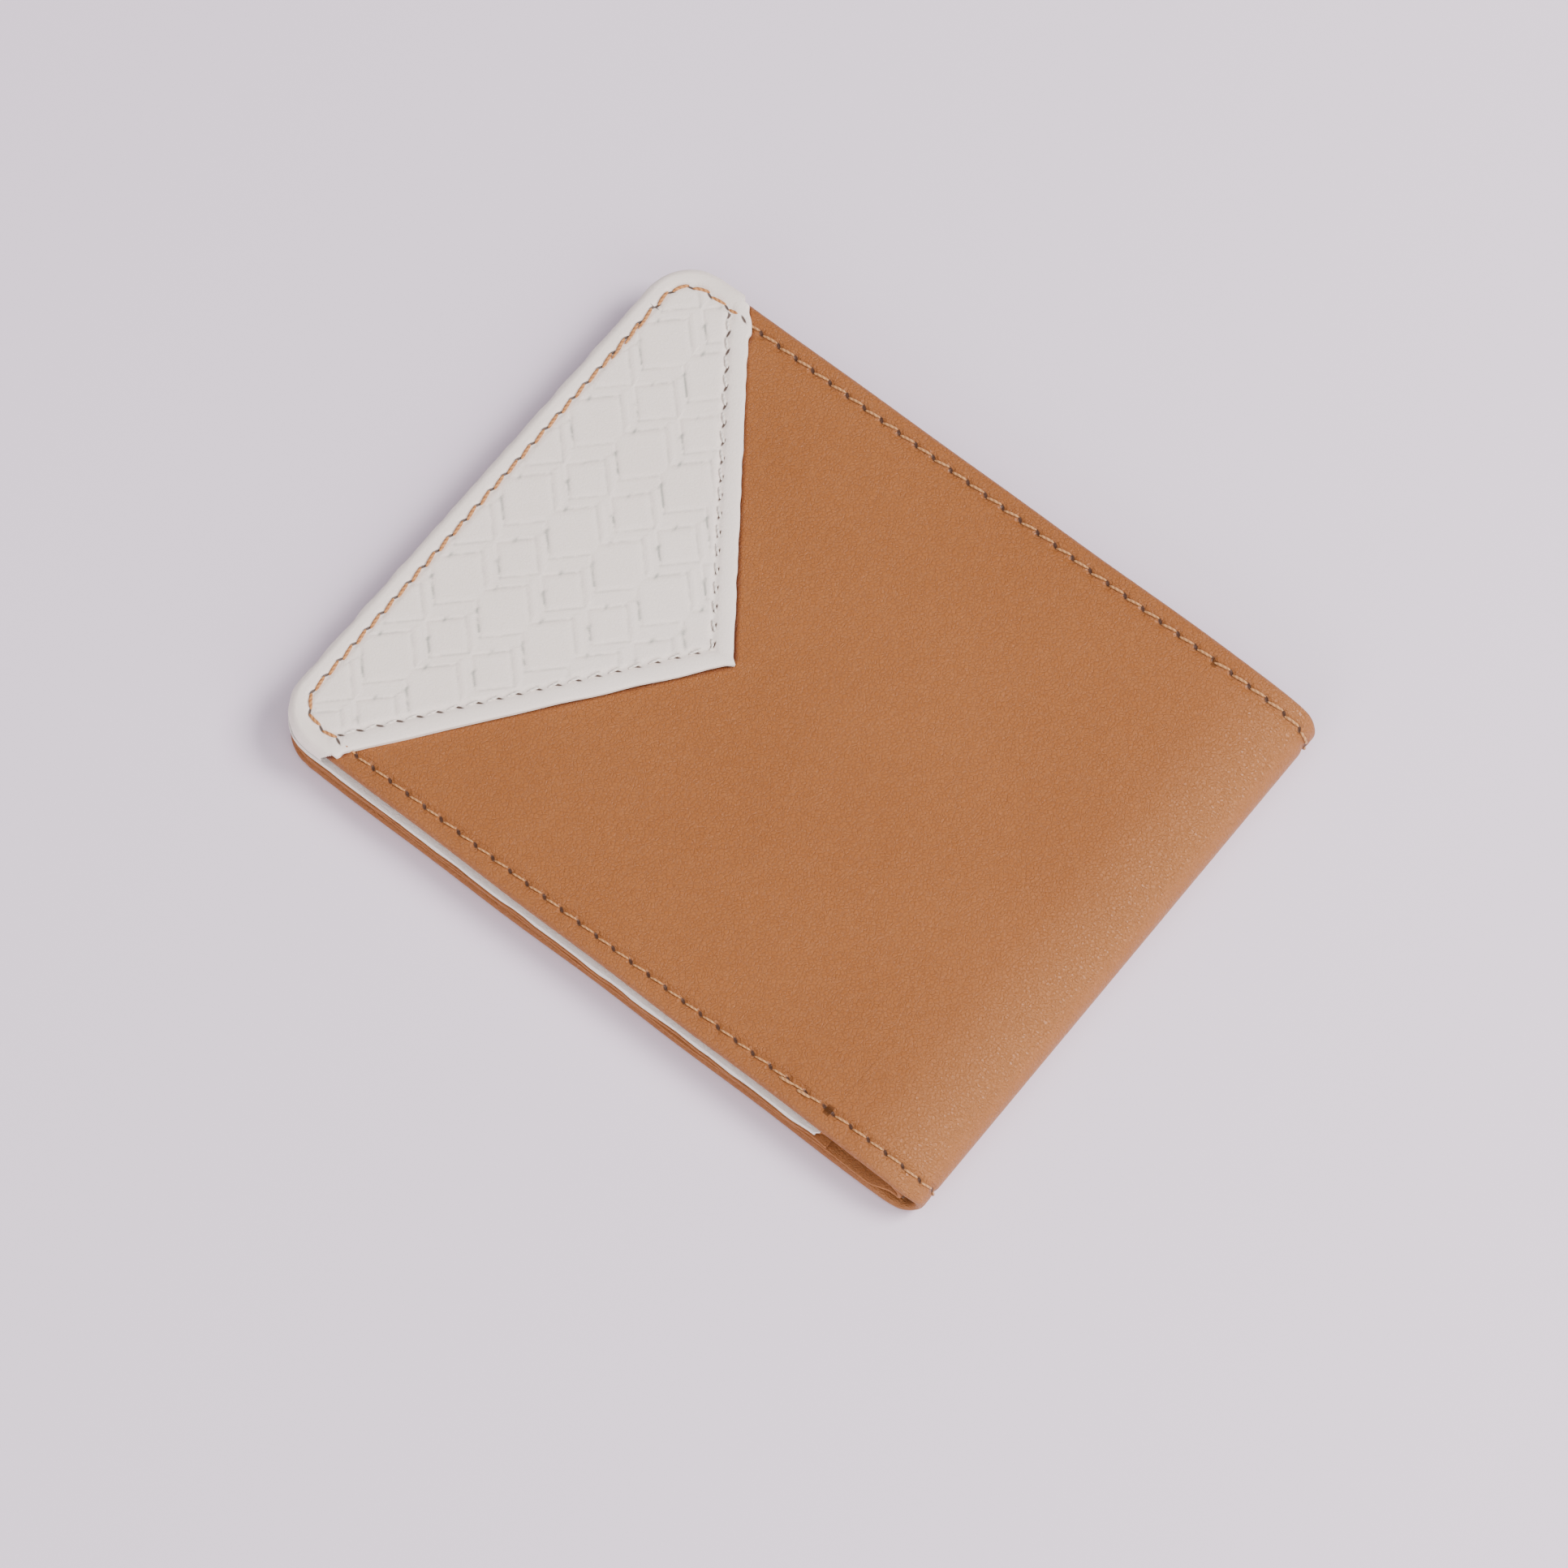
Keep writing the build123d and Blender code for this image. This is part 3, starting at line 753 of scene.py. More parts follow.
# The rim goes down in rings: round the free edge where the leather wraps, straight down where it is cut
mesh = bmesh.new()
mesh.from_mesh(patch.data)
rim = [edge for edge in mesh.edges if edge.is_boundary]
rings = 7
wrap_depth = patch_top - patch_low.z
for ring in range(rings + 1):
    grown = bmesh.ops.extrude_edge_only(mesh, edges=rim)["geom"]
    rim = [item for item in grown if isinstance(item, bmesh.types.BMEdge)]
    turn_now = (ring + 1) / rings * math.pi / 2
    turn_before = ring / rings * math.pi / 2
    outwards = math.sin(turn_now) - math.sin(turn_before)
    for vertex in (item for item in grown if isinstance(item, bmesh.types.BMVert)):
        r, h, z = vertex.co
        cut = abs(past_slant(r, h)) < 0.0009
        if ring == rings:
            if not cut:
                vertex.co.z = patch_lift - wrap_depth
            continue
        if cut:
            vertex.co.x += 0.00004 * outwards
            vertex.co.z -= patch_lift / rings
            continue
        centre = Vector((patch_start + corner, min(max(h, patch_low.y + corner), patch_high.y - corner)))
        out = Vector((0, h - centre.y)) if r > centre.x else Vector((r, h)) - centre
        out.normalize()
        out *= patch_wrap * outwards
        vertex.co.x += out.x
        vertex.co.y += out.y
        vertex.co.z -= patch_wrap * (math.cos(turn_before) - math.cos(turn_now))
bmesh.ops.recalc_face_normals(mesh, faces=mesh.faces)
mesh.to_mesh(patch.data)
mesh.free()
flat = points_of(patch)
keep_flat(patch, flat)
run, height, lift = flat.T
on_top = np.clip(1 - (patch_lift - lift) / 0.0003, 0, 1)
x = run + taper_x
edge_inset = np.minimum((slanted_edge(height) - run) * slant_share,
                        rim_distance(run, height, patch_start, 0.2, patch_low.y, patch_high.y, corner))
plain = eased((edge_inset - patch_inset) / 0.0012)
sunk = 0.00016 * np.exp(-((edge_inset - patch_inset) / 0.00042) ** 2)
margin = 0.00013 * np.sin(np.clip(edge_inset / 0.0024, 0, 1) * math.pi)
margin -= 0.00010 * (1 - eased(edge_inset / 0.0004))
slack = 0.00008 * waves(run, height, 0.04, 8)
curl = 0.00035 * np.exp(-(np.hypot(x + 0.044, height - 0.0437) / 0.003) ** 2)
ragged = 0.00008 * waves(run, height, 0.004, 9) * (edge_inset < 0.0004)
level = lift + on_top * (weave_relief(x, height) * plain - sunk + margin + slack) + curl
placed = np.stack([x + ragged, height, level + outer_top], axis=1)
move_points(patch, placed)
bpy.ops.object.shade_smooth_by_angle(angle=math.radians(50))
# Painted shade along the pressed lines of the pattern
weave_shade = patch.data.attributes.new("weave_shade", "FLOAT", "POINT")
weave_shade.data.foreach_set("value", (painted_weave_shade(x, height) * plain * on_top).astype(np.float32))
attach(patch, "front_half")
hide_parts("corner_patch")


def inset_slant(end_x, end_y, amount):
    """A slanted edge of the patch moved inwards, as a point and a direction from the apex outwards."""
    apex = np.array((patch_high.x, apex_height))
    ahead = np.array((end_x, end_y)) - apex
    ahead /= np.linalg.norm(ahead)
    inward = np.array((-abs(ahead[1]), ahead[0] * np.sign(ahead[1])))
    return apex + inward / np.linalg.norm(inward) * amount, ahead


def slant_at(start, ahead, y):
    """The point of a slanted line at a height."""
    return start + ahead * (y - start[1]) / ahead[1]


# The patch's own seam follows its two slanted edges
low_start, low_ahead = inset_slant(low_end_x, back_low.y, patch_inset)
high_start, high_ahead = inset_slant(high_end_x, back_high.y, patch_inset)
lengths = np.linalg.solve(np.stack([low_ahead, -high_ahead], axis=1), high_start - low_start)
patch_path = seam_path([slant_at(low_start, low_ahead, -0.0400), low_start + low_ahead * lengths[0],
                        slant_at(high_start, high_ahead, 0.0402)], 0.0)
on_cover = np.stack([placed[:, 0] - taper_x, flat_height(placed[:, 1])], axis=1)
flat_patch_path = np.stack([patch_path[:, 0] - taper_x, flat_height(patch_path[:, 1])], axis=1)
mark_seams(patch, on_cover, [front_closing, front_mouth, flat_patch_path], (pitch, pitch, patch_pitch))
white_leather = leather("white_leather", (0.86, 0.765, 0.69, 1), (0.83, 0.73, 0.655, 1),
                        (0.87, 0.79, 0.74, 1), 0.52, 0.3, 0.0, (0.58, 0.20, 0.42, 0.14), 0.35)
finish_with([patch], white_leather)


def shade_beside(piece, distance):
    """Marks the leather beside a piece that is sewn on over it, where shade gathers."""
    shade = piece.data.attributes.new("nook", "FLOAT", "POINT")
    shade.data.foreach_set("value", np.clip(1 - distance / 0.003, -5, 3).astype(np.float32))


rows = flat_of(front_cover)
shade_beside(front_cover, (rows[:, 0] - slanted_edge(rows[:, 1])) * slant_share)


# ---- Threads of the covers --------------------------------------------------------------------------
# Thick polyester thread in a lockstitch. Each stitch comes up through one needle hole, lies slightly arched
# and askew on the leather, and goes down through the next. The closing seam is doubled at its ends.
def thread_finish(name, colour, shade):
    """Twisted thread: plies that wind round it, a little fuzz and a soft gloss."""
    finish = bpy.data.materials.new(name)
    finish.use_nodes = True
    tree = finish.node_tree
    link = tree.links.new
    shader = tree.nodes["Principled BSDF"]
    spot = stored(tree, "flat").outputs["Vector"]
    plies = node(tree, "ShaderNodeTexWave", wave_type="BANDS", bands_direction="DIAGONAL", Scale=900)
    fuzz = node(tree, "ShaderNodeTexNoise", Scale=3500, Detail=3)
    link(spot, plies.inputs["Vector"])
    link(spot, fuzz.inputs["Vector"])
    bump = node(tree, "ShaderNodeBump", Strength=0.7, Distance=0.00006)
    link(sums(tree, "ADD", plies.outputs["Fac"], fuzz.outputs["Fac"]), bump.inputs["Height"])
    link(bump.outputs["Normal"], shader.inputs["Normal"])
    wound = tint(tree, ramp(tree, plies.outputs["Fac"], 0.1, 0.7), shade, colour)
    fuzzy = tint(tree, ramp(tree, fuzz.outputs["Fac"], 0.35, 0.7, 0.0, 0.4), wound, colour)
    link(fuzzy, shader.inputs["Base Color"])
    shader.inputs["Roughness"].default_value = 0.55
    shader.inputs["Sheen Weight"].default_value = 0.15
    shader.inputs["Specular IOR Level"].default_value = 0.3
    return finish


bpy.ops.object.select_all(action="DESELECT")
bpy.ops.mesh.primitive_uv_sphere_add(segments=8, ring_count=8, radius=0.5, location=(0, 0, 0),
                                     rotation=(0, math.pi / 2, 0))
stitch = bpy.context.object
bpy.ops.object.transform_apply(location=False, rotation=True, scale=False)
stitch_points = points_of(stitch)
stitch_faces = [list(polygon.vertices) for polygon in stitch.data.polygons]
bpy.data.objects.remove(stitch)


def sew(name, path, length, surface, spacing=pitch, wide=0.00046, arch=0.00016, slant=0.00012, sides=0.0,
        sink=0.0, shift=0.0, pick=None):
    """A row of stitches along a seam. surface takes their points (run, height, lift) to where they lie."""
    draw = np.random.default_rng(len(name) * 7 + len(path))
    count = stitch_count(path, spacing)
    reach = np.linspace(0, count, len(path))
    ahead = headings_along(path)
    u, v, w = stitch_points.T
    across = np.sign(u) * np.abs(2 * u) ** 0.55 / 2
    rows = []
    laid = []
    for index in range(count):
        middle = index + 0.5 + shift
        if pick and not pick((np.interp(middle, reach, path[:, 0]), np.interp(middle, reach, path[:, 1])),
                             index, count):
            continue
        at = middle + across * length / spacing
        lean = slant * draw.uniform(0.7, 1.3)
        off = v * wide + across * 2 * lean + sides + draw.uniform(-0.00003, 0.00003)
        a = np.interp(at, reach, path[:, 0]) - np.interp(at, reach, ahead[:, 1]) * off
        b = np.interp(at, reach, path[:, 1]) + np.interp(at, reach, ahead[:, 0]) * off
        rise = w * wide * 0.85 + arch * (1 - (2 * across) ** 2) - sink + 0.00004
        rows.append(np.stack([a, b, rise], axis=1))
        laid.append(np.stack([across * length, v * wide, np.full_like(u, index * 0.01)], axis=1))
    size = len(stitch_points)
    faces = [[corner_index + size * number for corner_index in face]
             for number in range(len(rows)) for face in stitch_faces]
    data = bpy.data.meshes.new(name)
    data.from_pydata(surface(np.concatenate(rows)).tolist(), [], faces)
    data.update()
    row = bpy.data.objects.new(name, data)
    bpy.context.collection.objects.link(row)
    bpy.context.view_layer.objects.active = row
    bpy.ops.object.select_all(action="DESELECT")
    row.select_set(True)
    bpy.ops.object.shade_smooth()
    keep_flat(row, np.concatenate(laid))
    return row


def on_hide(rows):
    """Lays stitch points on the outer side of the hide, pressed flat where the wallet rests on them."""
    laid = rows.copy()
    laid[:, 2] += outer_surface(rows[:, 0], rows[:, 1])
    sewn = fold_up(laid)
    sewn[:, 2] = np.maximum(sewn[:, 2], 0)
    return sewn


def in_patch(point):
    """True for a point of the flat front cover that the patch covers."""
    y = point[1] * (1 - (front_low.y - back_low.y + back_high.y - front_high.y) / (2 * half_height))
    return past_slant(point[0], y) < -0.0002


def on_patch(rows):
    """Lays stitch points on the patch, and on the cover past its edge."""
    x, y, z = fold_up(np.stack([rows[:, 0], rows[:, 1], 0 * rows[:, 0]], axis=1)).T
    edge = np.clip((slanted_edge(y) - rows[:, 0]) / 0.0006, 0, 1)
    cover = outer_surface(rows[:, 0], rows[:, 1])
    level = cover * (1 - edge) + (patch_lift - 0.00010) * edge
    return np.stack([x, y, outer_top + level + rows[:, 2]], axis=1)


def on_patch_flat(rows):
    """Lays stitch points on the patch from the front cover's own x and y."""
    return np.stack([rows[:, 0], rows[:, 1], patch_top - 0.00013 + rows[:, 2]], axis=1)


def part_of(first, last, patched=None):
    """Picks the stitches of one stretch of the hide, all of them or only those on or off the patch."""
    def chosen(point, index, count):
        return first <= point[0] < last and (patched is None or in_patch(point) == patched)
    return chosen


def first_three(point, index, count):
    """Picks the first three stitches of a seam."""
    return index < 3


def near_the_end(point, index, count):
    """Picks two stitches close to the end of a seam."""
    return count - 4 < index < count - 1


orange_thread = thread_finish("orange_thread", (0.52, 0.235, 0.075, 1), (0.31, 0.11, 0.03, 1))
tan_thread = thread_finish("tan_thread", (0.50, 0.255, 0.10, 1), (0.33, 0.14, 0.05, 1))
white_thread = thread_finish("white_thread", (0.80, 0.73, 0.66, 1), (0.62, 0.56, 0.50, 1))

# Each row has its name, its seam, a stitch's length, the surface it lies on and what it moves with.
# Then come the sizes that differ from a plain row's, and the stretch of the seam that it covers.
thick = {"wide": 0.00052, "slant": 0.0002, "arch": 0.00010, "pick": part_of(-far, 0, True)}
sunk_in = {"wide": 0.0004, "sink": 0.00026, "pick": part_of(run_back, far)}
off_patch = part_of(-far, 0, False)
on_taper = part_of(0, run_bend)
on_upper = {"wide": 0.00037, "pick": part_of(run_bend, run_middle)}
on_lower = {"wide": 0.00037, "pick": part_of(run_middle, run_back)}
for name, path, length, surface, place, shape in (
        ("front_closing_stitches_on_patch", front_closing, 0.0025, on_patch, "front_half", thick),
        ("front_mouth_stitches_on_patch", front_mouth, 0.0025, on_patch, "front_half", thick),
        ("front_closing_backtack", front_closing, 0.0024, on_patch, "front_half",
         {"wide": 0.0004, "sides": 0.00026, "shift": 0.4, "pick": first_three}),
        ("front_closing_stitches", front_closing, 0.0020, on_hide, "front_half",
         {"wide": 0.00034, "pick": off_patch}),
        ("front_mouth_stitches", front_mouth, 0.0023, on_hide, "front_half",
         {"wide": 0.00035, "slant": 0.00018, "pick": off_patch}),
        ("front_end_backtack", front_closing, 0.0021, on_hide, "front_half",
         {"sides": -0.0003, "shift": 0.45, "pick": near_the_end}),
        ("taper_stitches_mouth", hem_high, 0.0024, on_hide, "fold_taper",
         {"wide": 0.00037, "slant": 0.00018, "pick": on_taper}),
        ("taper_stitches_bottom", hem_low, 0.0022, on_hide, "fold_taper",
         {"wide": 0.00037, "pick": on_taper}),
        ("fold_stitches_upper_mouth", hem_high, 0.0024, on_hide, "upper_bend", on_upper),
        ("fold_stitches_upper_bottom", hem_low, 0.0022, on_hide, "upper_bend", on_upper),
        ("fold_stitches_lower_mouth", hem_high, 0.0024, on_hide, "lower_bend", on_lower),
        ("fold_stitches_lower_bottom", hem_low, 0.0022, on_hide, "lower_bend", on_lower),
        ("back_closing_stitches", back_closing, 0.0022, on_hide, "back_half", sunk_in),
        ("back_mouth_stitches", hem_high, 0.0022, on_hide, "back_half", sunk_in),
        ("back_hem_stitches", hem_low, 0.0022, on_hide, "back_half", sunk_in)):
    row = sew(name, path, length, surface, **shape)
    row.data.materials.append(orange_thread if surface is on_patch else tan_thread)
    carry(row, place)
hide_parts("front_closing_seam")
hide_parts("front_mouth_seam")
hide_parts("taper_seam")
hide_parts("fold_seam")
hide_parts("back_closing_seam")
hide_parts("back_mouth_seam")
patch_seam = sew("patch_stitches", patch_path, 0.0018, on_patch_flat, spacing=patch_pitch, wide=0.00040,
                 arch=0.00012, slant=0.0002)
patch_seam.data.materials.append(white_thread)
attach(patch_seam, "front_half")
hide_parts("patch_seam")


# ---- Liner ------------------------------------------------------------------------------------------
# Thin split leather behind the card pockets. It is the inner wall of the bill compartment and runs on round
# the fold in a small loop of its own, tan over the fold and on the back half, and white on the front half.
front_liner_low, front_liner_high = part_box("front_liner")
back_liner_low, back_liner_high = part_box("back_liner")
loop_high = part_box("fold_liner")[1]
slope = math.radians(6.5)                  # of the inside where it runs down to the fold
liner_thickness = 0.00035
loop_radius = 0.000989
loop_x = loop_high.x - loop_radius
loop_z = back_liner_low.z + loop_radius
liner_taper = math.hypot(loop_x + loop_radius * math.sin(slope) - taper_x,
                         front_liner_high.z - loop_z - loop_radius * math.cos(slope))
loop_run = loop_radius * (math.pi - slope)
loop_end = liner_taper + loop_run
liner_end = loop_end + loop_x - back_liner_low.x
liner_start = front_liner_low.x - taper_x
liner_step = 0.00001
liner_run = np.arange(liner_start - 0.001, liner_end + 0.001, liner_step)
liner_heading = slope * eased((liner_run + 0.0005) / 0.001)
liner_heading += (math.pi - slope) * np.clip((liner_run - liner_taper) / loop_run, 0, 1)
liner_x = np.cumsum(np.cos(liner_heading)) * liner_step
liner_z = -np.cumsum(np.sin(liner_heading)) * liner_step
liner_x += back_liner_low.x - np.interp(liner_end, liner_run, liner_x)
liner_z += back_liner_low.z - np.interp(liner_end, liner_run, liner_z)


def fold_liner_up(flat):
    """Takes points of the flat liner (run, height, lift off its outer side) to their place."""
    angle = np.interp(flat[:, 0], liner_run, liner_heading)
    x = np.interp(flat[:, 0], liner_run, liner_x) + flat[:, 2] * np.sin(angle)
    z = np.interp(flat[:, 0], liner_run, liner_z) + flat[:, 2] * np.cos(angle)
    return np.stack([x, flat[:, 1], z], axis=1)


liner_low = back_liner_low.y
liner_high = back_liner_high.y
front_round = 0.0059                       # the corner radius of the front half's panels
back_round = 0.007
bent_lines = np.concatenate([np.linspace(0, liner_taper, 14), np.linspace(liner_taper, loop_end, 21),
                             np.linspace(loop_end, loop_end + 0.008, 9)])
liner_lines = stops(liner_start, liner_end, 0.003, 0.003)
liner_lines = liner_lines[(liner_lines < -0.0005) | (liner_lines > bent_lines[-1] + 0.0005)]
liner_lines = np.unique(np.round(np.concatenate([liner_lines, bent_lines]), 7))
liner_heights = stops(liner_low, liner_high, 0.003, 0.003)
liner_radii = (front_round, front_round, back_round, back_round)
liner = flat_slab("liner", liner_lines, liner_heights, liner_radii, liner_thickness, 0.00016, 3)
flat = points_of(liner)
keep_flat(liner, flat)
run, height, lift = flat.T
share = 1 + lift / liner_thickness
past_loop = eased((run - loop_end) / 0.004)
creased = 0.00007 * np.exp(-((height - liner_high + 0.0015) / 0.0003) ** 2) * (1 - share)
shaped = flat.copy()
shaped[:, 2] = lift * (1 + 0.7 * eased((run - 0.005) / 0.004) * (1 - past_loop))
shaped[:, 2] += creased
drawn_in = eased((run + 0.0012) / 0.0020) * (1 - past_loop)
loop_out = np.exp(-((run - liner_taper - loop_run * 0.5) / 0.0022) ** 2)
near_edges = np.abs(height - (liner_low + liner_high) / 2) > 0.0405
shaped[:, 1] += (0.0011 * drawn_in - 0.0004 * loop_out) * (height < 0)
shaped[:, 1] += 0.00012 * waves(run, height, 0.02, 15) * near_edges
move_points(liner, fold_liner_up(shaped))
loop_middle = liner_taper + loop_run / 2
hinge_reach = 0.0065                       # from the loop to where the liner lies still
hinged_to = bent_lines[np.argmin(np.abs(bent_lines - loop_end - hinge_reach))]
front_liner = cut_piece(liner, "front_liner_leather", -far, 0)
taper_liner = cut_piece(liner, "taper_liner_leather", 0, loop_middle)
lower_liner = cut_piece(liner, "fold_liner_leather", loop_middle, hinged_to)
back_liner = cut_piece(liner, "back_liner_leather", hinged_to, far)
bpy.data.objects.remove(liner)
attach(front_liner, "front_half")
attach(back_liner, "back_half")
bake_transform(taper_liner)
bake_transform(lower_liner)
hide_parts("front_liner")
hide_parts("taper_liner")
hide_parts("fold_liner")
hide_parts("back_liner")

# The seams of the inside, seen from above: the closing seam, and the row along the pockets' fold-side end
pocket_names = ("upper", "middle", "lower")
mouths = [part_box("back_card_pocket_" + place)[1].y for place in pocket_names]
inner_seam_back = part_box("back_pocket_seams")[1].x - 0.00025
inner_seam_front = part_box("front_pocket_seams")[1].x - 0.00025


def inside_seams(panel_low, pocket_seam_x):
    """The two seams of one half's inside."""
    bottom = panel_low + long_seam
    closing = seam_path([(seam_x, seam_start), (seam_x, bottom), (closing_end, bottom)], seam_round)
    return [closing, seam_path([(pocket_seam_x, bottom), (pocket_seam_x, mouths[0] - 0.0015)], 0)]


front_inside = inside_seams(front_liner_low.y, inner_seam_front)
back_inside = inside_seams(back_liner_low.y, inner_seam_back)
shade_drop = 0.0004                        # from a mouth to the middle of the shade behind it
for piece in (front_liner, back_liner):
    rows = points_of(piece)
    height = rows[:, 1] + (rows[:, 0] > closing_end + 0.003)
    shade_beside(piece, np.abs(height - mouths[0] + shade_drop))
for piece, paths in ((front_liner, front_inside), (back_liner, back_inside), (taper_liner, front_inside),
                     (lower_liner, back_inside)):
    mark_seams(piece, points_of(piece), paths)
inner_tan = leather("tan_inner_leather", (0.36, 0.135, 0.042, 1), (0.32, 0.115, 0.034, 1),
                    (0.45, 0.20, 0.08, 1), 0.50, 0.9, 0.5, (0.26, 0.2, 0.6, 0.0))
inner_white = leather("white_inner_leather", (0.80, 0.74, 0.69, 1), (0.76, 0.69, 0.64, 1),
                      (0.82, 0.77, 0.73, 1), 0.5, 0.6, 0.0, (0.24, 0.16, 0.6, 0.0), 0.6)
finish_with([taper_liner, lower_liner, back_liner], inner_tan)
finish_with([front_liner], inner_white)


# ---- Card pockets -----------------------------------------------------------------------------------
# Three pockets on each half, stepped like stairs. Each is one thin leather panel with its mouth turned over
# and creased. The lowest reaches the bottom edge, where all the panels are caught in the closing seam.
mouth_gaps = (0.00045, 0.00038, 0.00022)   # how far each mouth stands open, from the upper pocket down


def card_pocket(half, place, number):
    """One pocket of a half, laid face up, and turned over for the front half."""
    low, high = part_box(half + "_card_pocket_" + place)
    turned = half == "front"
    lowest = number == 2
    seam_line = inner_seam_front if turned else inner_seam_back
    outline_low = front_liner_low.y if turned else back_liner_low.y
    round_low = (front_round if turned else back_round) if lowest else 0
    lines = stops(low.x, high.x, 0.004, 0.002, [seam_line])
    heights = stops(low.y, high.y, 0.005, 0.002)
    pocket = flat_slab(half + "_card_pocket_" + place + "_leather", lines, heights, (round_low, 0, 0, 0),
                       liner_thickness, 0.00016, 3)
    flat = points_of(pocket)
    keep_flat(pocket, flat)
    x, y, lift = flat.T
    share = 1 + lift / liner_thickness
    off_middle = (x - low.x) / (high.x - low.x) * 2 - 1
    crease = 0.00013 * np.exp(-((high.y - y - 0.0015) / 0.00030) ** 2)
    open_mouth = mouth_gaps[number] * eased((y - high.y + 0.004) / 0.004) * (1 - off_middle ** 4)
    drawn = 0.00006 * np.exp(-((x - seam_line) / 0.0006) ** 2)
    slack = 0.00007 * waves(x, y, 0.05, 21 + number)
    slack *= eased((high.x - x) / 0.01) * eased((x - low.x) / 0.01)
    rim = (y < outline_low + 0.0038) & (share < 0.02) & lowest
    top = outer_top - low.z if turned else high.z
    shaped = flat.copy()
    shaped[:, 2] = top + np.where(rim, -3 * liner_thickness + 0.00002, lift)
    shaped[:, 2] += share * (slack - crease - drawn) + open_mouth
    shaped[:, 1] -= 0.0006 * (1 - off_middle ** 2) * eased((y - high.y + 0.006) / 0.005)
    shaped[:, 1] += 0.00010 * waves(x, y, 0.006, 30 + number) * (1 - eased((y - low.y) / 0.001))
    if turned:
        shaped[:, 2] = outer_top - shaped[:, 2]
    move_points(pocket, shaped)
    if turned:
        pocket.data.flip_normals()
    mark_seams(pocket, shaped, front_inside if turned else back_inside)
    if not lowest:
        shade_beside(pocket, np.abs(shaped[:, 1] - mouths[number + 1] + shade_drop))
    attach(pocket, half + "_half")
    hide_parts(half + "_card_pocket_" + place)
    return pocket


back_pockets = [card_pocket("back", place, number) for number, place in enumerate(pocket_names)]
front_pockets = [card_pocket("front", place, number) for number, place in enumerate(pocket_names)]
finish_with(back_pockets, inner_tan)
finish_with(front_pockets, inner_white)


def inner_level(y):
    """How far the innermost leather lies from the outer face, with the pockets' mouths as steps."""
    level = np.full_like(y, back_liner_low.z + liner_thickness)
    for mouth in mouths:
        level = level + liner_thickness * (y < mouth + 0.0001)
    return level


def on_back_inside(rows):
    """Lays stitch points on the inner face of the back half."""
    return np.stack([rows[:, 0], rows[:, 1], inner_level(rows[:, 1]) + rows[:, 2]], axis=1)


def on_front_inside(rows):
    """Lays stitch points on the inner face of the front half, which looks down when the wallet is shut."""
    return np.stack([rows[:, 0], rows[:, 1], outer_top - inner_level(rows[:, 1]) - rows[:, 2]], axis=1)


for half, paths, surface in (("back", back_inside, on_back_inside),
                             ("front", front_inside, on_front_inside)):
    for name, path in zip(("_inner_closing_stitches", "_pocket_stitches"), paths):
        row = sew(half + name, path, 0.0022, surface, wide=0.0004, arch=0.00006, slant=0.00008, sink=0.0001)
        row.data.materials.append(tan_thread)
        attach(row, half + "_half")
        if half == "front":
            row.data.flip_normals()
    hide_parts(half + "_pocket_seams")


# ---- Lining cloth -----------------------------------------------------------------------------------
# Woven polyester lining glued to the inner side of each cover, flat and taut, as far as the seams.
# It faces the bill compartment. The taper has a strip of its own.
cloth_thickness = 0.0002


def lining(name, start, end, round_start):
    """A taut sheet of cloth, laid flat between two distances, its corners rounded at the start."""
    low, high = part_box(name)
    cloth = flat_slab(name + "_cloth", np.linspace(start, end, 22), np.linspace(low.y, high.y, 22),
                      (round_start, round_start, 0, 0), cloth_thickness, 0.00004, 2)
    flat = points_of(cloth)
    keep_flat(cloth, flat)
    return cloth, flat


cloths = []
for name, round_start in (("back_lining", 0.0055), ("front_lining", 0.0044)):
    low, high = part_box(name)
    cloth, flat = lining(name, low.x, high.x, round_start)
    move_points(cloth, np.stack([flat[:, 0], flat[:, 1], high.z + flat[:, 2]], axis=1))
    cloths.append(cloth)
strip_low, strip_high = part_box("taper_lining")
strip_start = 0.0001
strip_length = (strip_high.x - strip_low.x) / math.cos(slope) - 0.0003
strip, flat = lining("taper_lining", strip_start, strip_start + strip_length, 0)
along = flat[:, 0] - strip_start
strip_x = strip_low.x + along * math.cos(slope) + (flat[:, 2] + cloth_thickness) * math.sin(slope)
strip_z = strip_high.z - along * math.sin(slope) + flat[:, 2] * math.cos(slope)
move_points(strip, np.stack([strip_x, flat[:, 1], strip_z], axis=1))
cloths.append(strip)
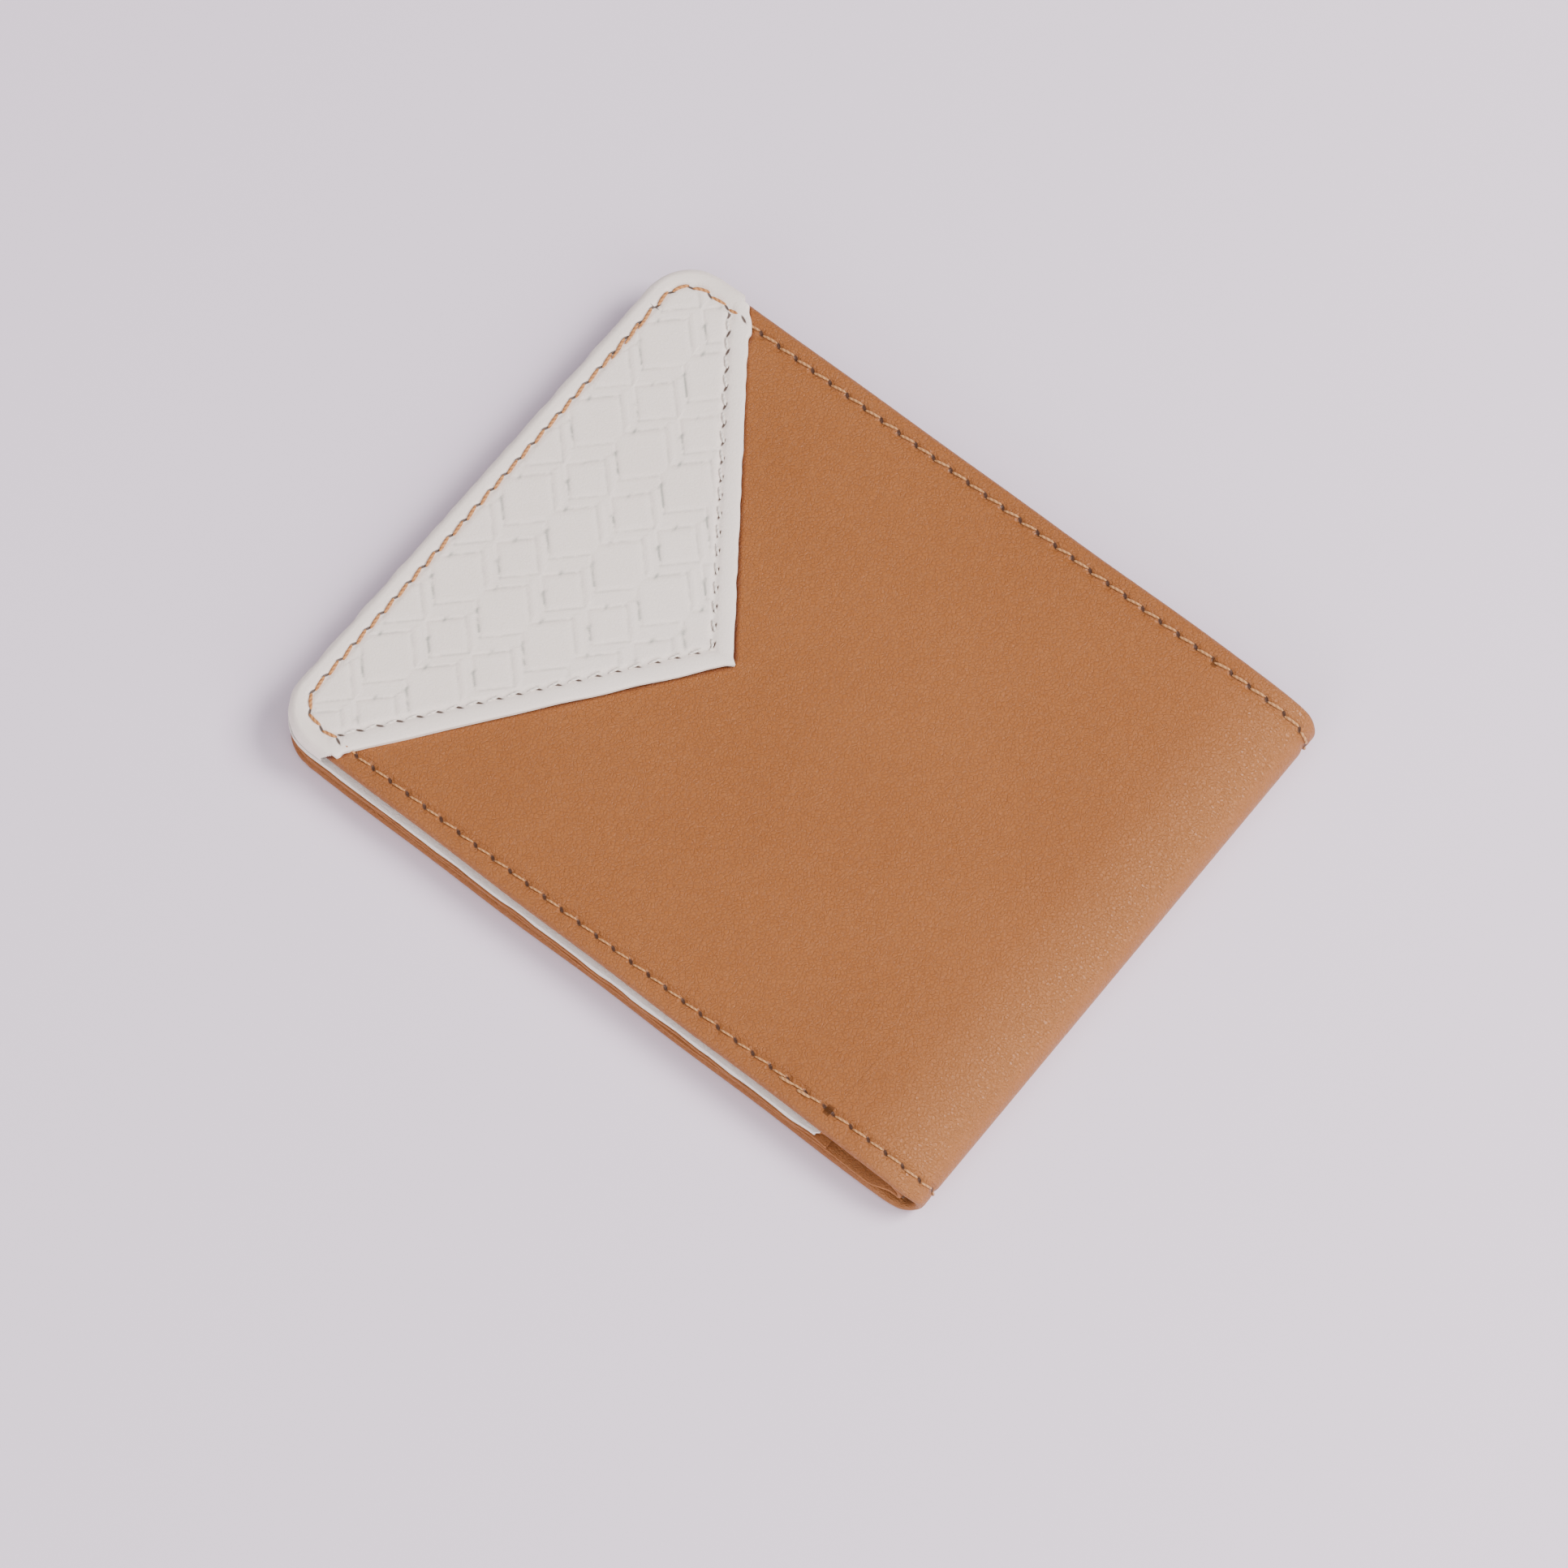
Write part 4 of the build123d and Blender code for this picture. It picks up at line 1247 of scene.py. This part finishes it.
for cloth, body, name in zip(cloths, ("back_half", "front_half", "fold_taper"),
                             ("back_lining", "front_lining", "taper_lining")):
    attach(cloth, body)
    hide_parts(name)
for cloth, cover in zip(cloths, (back_cover, front_cover, taper_cover)):
    length = strip_length if cloth is strip else cloth.dimensions.x
weave = bpy.data.materials.new("lining_cloth")
weave.use_nodes = True
tree = weave.node_tree
spot = stored(tree, "flat").outputs["Vector"]
warp = node(tree, "ShaderNodeTexWave", wave_type="BANDS", bands_direction="X", Scale=620)
weft = node(tree, "ShaderNodeTexWave", wave_type="BANDS", bands_direction="Y", Scale=620)
for texture in (warp, weft):
    tree.links.new(spot, texture.inputs["Vector"])
woven = sums(tree, "MAXIMUM", warp.outputs["Fac"], weft.outputs["Fac"])
bump = node(tree, "ShaderNodeBump", Strength=0.6, Distance=0.00004)
tree.links.new(woven, bump.inputs["Height"])
shader = tree.nodes["Principled BSDF"]
tree.links.new(bump.outputs["Normal"], shader.inputs["Normal"])
dyed = tint(tree, woven, (0.10, 0.045, 0.02, 1), (0.17, 0.085, 0.04, 1))
tree.links.new(dyed, shader.inputs["Base Color"])
shader.inputs["Roughness"].default_value = 0.75
shader.inputs["Sheen Weight"].default_value = 0.3
for cloth in cloths:
    cloth.data.materials.append(weave)


# ---- Stiffener boards -------------------------------------------------------------------------------
# Grey board glued inside each cover, within the turned hem.
# It is hidden, so the CAD's own boards are kept, and only get a finish.
board = bpy.data.materials.new("stiffener_board")
board.use_nodes = True
tree = board.node_tree
spot = node(tree, "ShaderNodeTexCoord").outputs["Object"]
fibres = node(tree, "ShaderNodeTexNoise", Scale=900, Detail=6)
tree.links.new(spot, fibres.inputs["Vector"])
shader = tree.nodes["Principled BSDF"]
grey = tint(tree, fibres.outputs["Fac"], (0.20, 0.18, 0.16, 1), (0.42, 0.39, 0.35, 1))
tree.links.new(grey, shader.inputs["Base Color"])
shader.inputs["Roughness"].default_value = 0.9
for name in ("back_stiffener", "front_stiffener"):
    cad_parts[name].data.materials.clear()
    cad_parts[name].data.materials.append(board)
